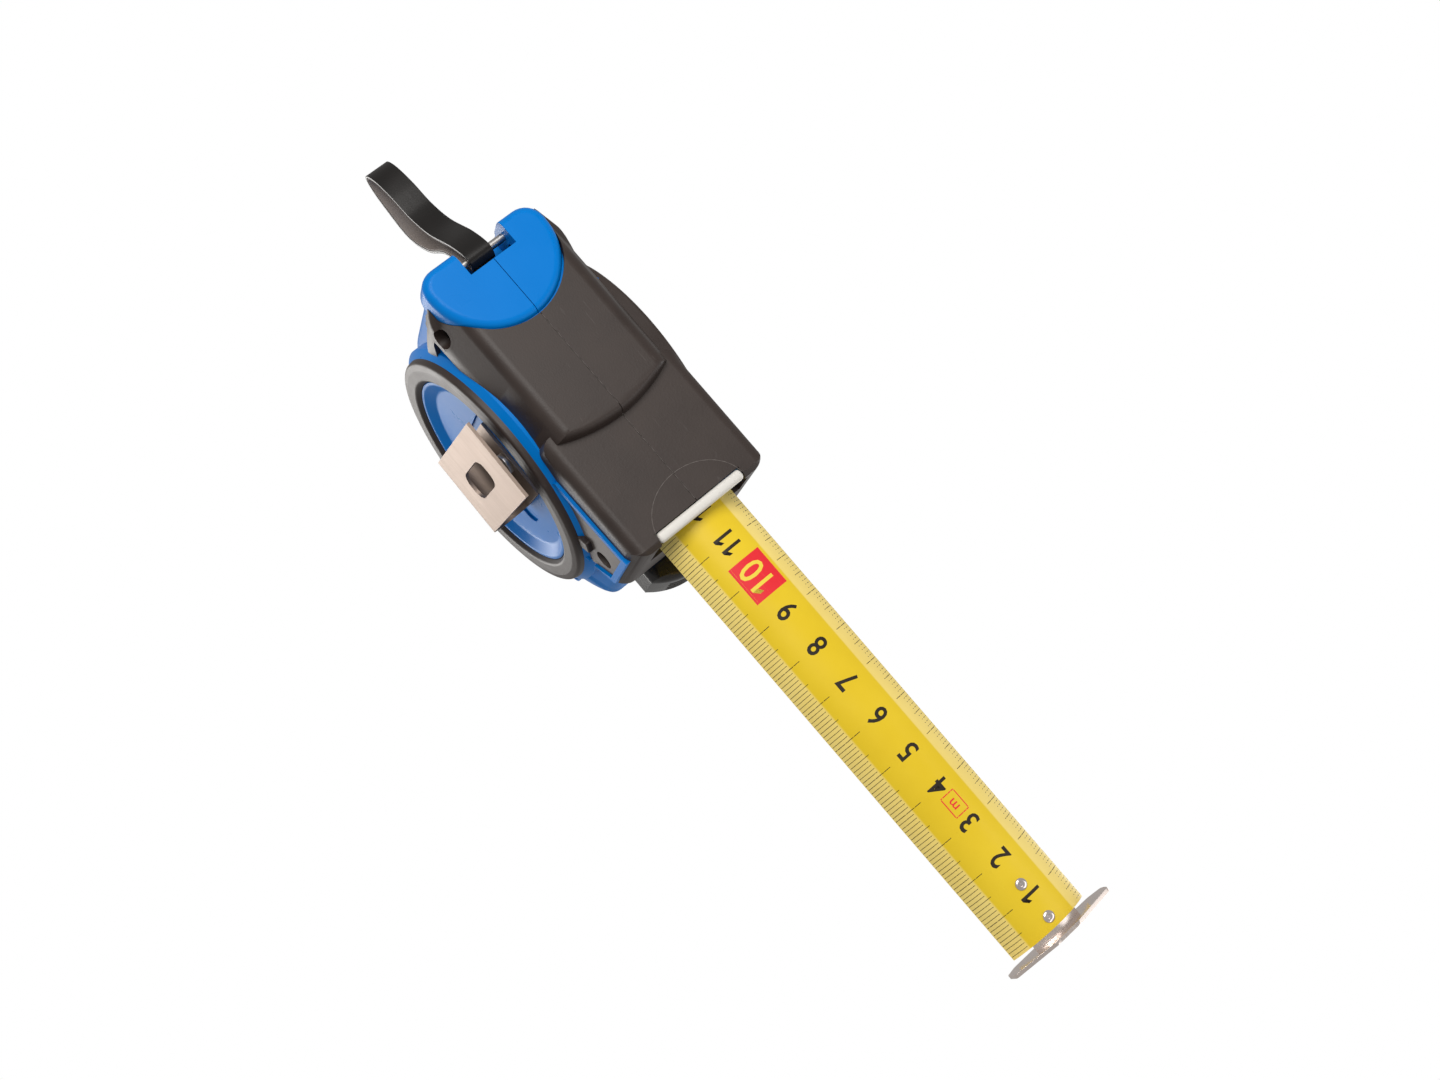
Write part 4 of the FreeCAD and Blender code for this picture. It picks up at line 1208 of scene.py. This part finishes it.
def thumb_button():
    """Button with a bowed front, cut flat behind, and four short ridges across it."""
    low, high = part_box("thumb_lock")
    half, back, front = high[1] - 0.05 * MM, low[0] + 0.02 * MM, high[0] - 0.02 * MM
    plan = through((front - 4.2 * MM, -half), (front, 0.0), (front - 4.2 * MM, half), 28)
    outline = rounded_corners([(back, half), (back, -half)], [0, 0]) + plan
    button = standing_prism("thumb_button", outline, low[2] + 0.02 * MM, high[2] - 0.02 * MM,
                            round_rim(2.4 * MM, 8))
    anywhere, across = (0, 90 * MM), mm(-20, 20)
    worked(button, "DIFFERENCE", brick("behind", (0, back), across, anywhere))
    bowed = [(x + 0.15 * MM, y) for x, y in outline]
    for number in range(4):
        up = high[2] - (3.4 + 1.7 * number) * MM
        ridge = standing_prism("ridge", bowed, up, up + 0.8 * MM, round_rim(0.3 * MM, 3))
        worked(ridge, "DIFFERENCE",
               *[brick("end", anywhere, span(side, 7 * MM, 20 * MM), anywhere) for side in (LEFT, RIGHT)],
               brick("back", (0, back + 1 * MM), across, anywhere))
        worked(button, "UNION", ridge)
    return finished(button, 0.15 * MM)


dressed(thumb_button(), black_gloss, "lock", ["thumb_lock"])

# ------------------------------------------------------------------ wrist strap and its pin
# Moulded PVC band in two layers, black and shiny outside and dull grey inside, looped round a steel pin that
# crosses the notch of the tail cap. The grey inside is painted lighter to stand in for light on its shaded
# face, and its edge along the band shows as a painted highlight line.

strap_pvc = moulded_plastic("shiny_black_pvc", (0.006, 0.0052, 0.005), 0.3, 0.00001, 0.3,
                            (0.014, 0.012, 0.011), 0.25)
# Grey of the lining, lightened as painted light for its shaded inner face; its edge makes a painted highlight
# line.
lining_grey_and_painted_light = moulded_plastic("grey_pvc_and_painted_light", (0.22, 0.19, 0.175), 0.55, 0.00001, 0.35,
                             (0.28, 0.245, 0.225), 0.5)
PIN_LOW, PIN_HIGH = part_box("strap_pin")
PIN_AT = centre_of("strap_pin")
STRAP_LOW, STRAP_HIGH = (corner[1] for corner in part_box("wrist_strap"))


def strap_loop(grow):
    """Side outline of the loop: a smooth curve through its knots, drawn out by grow."""
    pin_x, pin_z = (value / MM for value in PIN_AT)
    knots = [(pin_x + 2.05, pin_z), (pin_x, pin_z - 2.05), (-39.0, 5.2), (-46.0, 11.6), (-52.5, 14.4),
             (-59.0, 15.0), (-64.6, 16.6), (-67.4, 19.4), (-65.3, 21.8), (-59.5, 23.6), (-52.0, 24.4),
             (-45.6, 19.8), (-40.6, 11.4), (pin_x, pin_z + 2.05)]
    smooth, steps = [], 10
    for index in range(len(knots)):
        a, b, c, d = (Vector(knots[(index + shift) % len(knots)]) for shift in (-1, 0, 1, 2))
        for step in range(steps):
            t = step / steps
            smooth.append(0.5 * (2 * b + (c - a) * t + (2 * a - 5 * b + 4 * c - d) * t ** 2
                                 + (3 * b - a - 3 * c + d) * t ** 3))
    area = sum(smooth[i - 1].x * smooth[i].y - smooth[i].x * smooth[i - 1].y for i in range(len(smooth)))
    outward = -1 if area > 0 else 1
    moved = []
    for index, spot in enumerate(smooth):
        along = (smooth[(index + 1) % len(smooth)] - smooth[index - 1]).normalized()
        moved.append(tuple((spot + Vector((-along.y, along.x)) * outward * grow / MM) * MM))
    return moved


def strap_band(name, inner, outer, low, high):
    """One layer of the band, between two offsets from its middle line and two values of Y."""
    rims = ((outer, low), (outer, high), (inner, high), (inner, low))
    rows = [[(x, y, z) for x, z in strap_loop(grow)] for grow, y in rims]
    return finished(lofted(name, rows, looped=True), 0.12 * MM, 2, 50)


outer_layer = strap_band("strap_outer_layer", -0.15 * MM, 0.48 * MM, STRAP_LOW, STRAP_HIGH)
lining = strap_band("strap_lining", -0.48 * MM, -0.17 * MM, STRAP_LOW + 0.1 * MM, STRAP_HIGH - 0.1 * MM)
pin = finished(plug("strap_cross_pin", *PIN_AT, 0.98 * MM, PIN_LOW[1], PIN_HIGH[1]), 0.15 * MM)
dressed(outer_layer, strap_pvc, "strap", ["wrist_strap"])
dressed(lining, lining_grey_and_painted_light, "strap", ())
dressed(pin, screw_steel, "case", ["strap_pin"])

# ------------------------------------------------------------------ inside the case
# The drum, its lid, the wound tape, the mainspring, post, washers, lever, pad and detent spring keep their
# own shapes and only get their finish.

coil_yellow = moulded_plastic("coil_yellow", (0.78, 0.58, 0.05), 0.4, 0.00001, 0.35)
drum_grey = moulded_plastic("drum_grey_plastic", (0.10, 0.10, 0.105), 0.45)
spring_blue = sheet_metal("blued_spring_steel", (0.22, 0.24, 0.30), 0.35)
INSIDE = {
    "centre_post": (screw_steel, "steel"), "drum": (drum_grey, "drum_plastic"),
    "drum_lid": (drum_grey, "drum_plastic"), "tape_coil": (coil_yellow, "tape_steel"),
    "mainspring": (spring_blue, "spring_steel"), "washer_left": (nylon, "nylon"),
    "washer_right": (nylon, "nylon"), "lock_lever": (black_gloss, "black_plastic"),
    "brake_pad": (rubber, "rubber"), "detent_spring": (spring_blue, "spring_steel"),
}
for name, (material, slot_name) in INSIDE.items():
    coated(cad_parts[name], material)
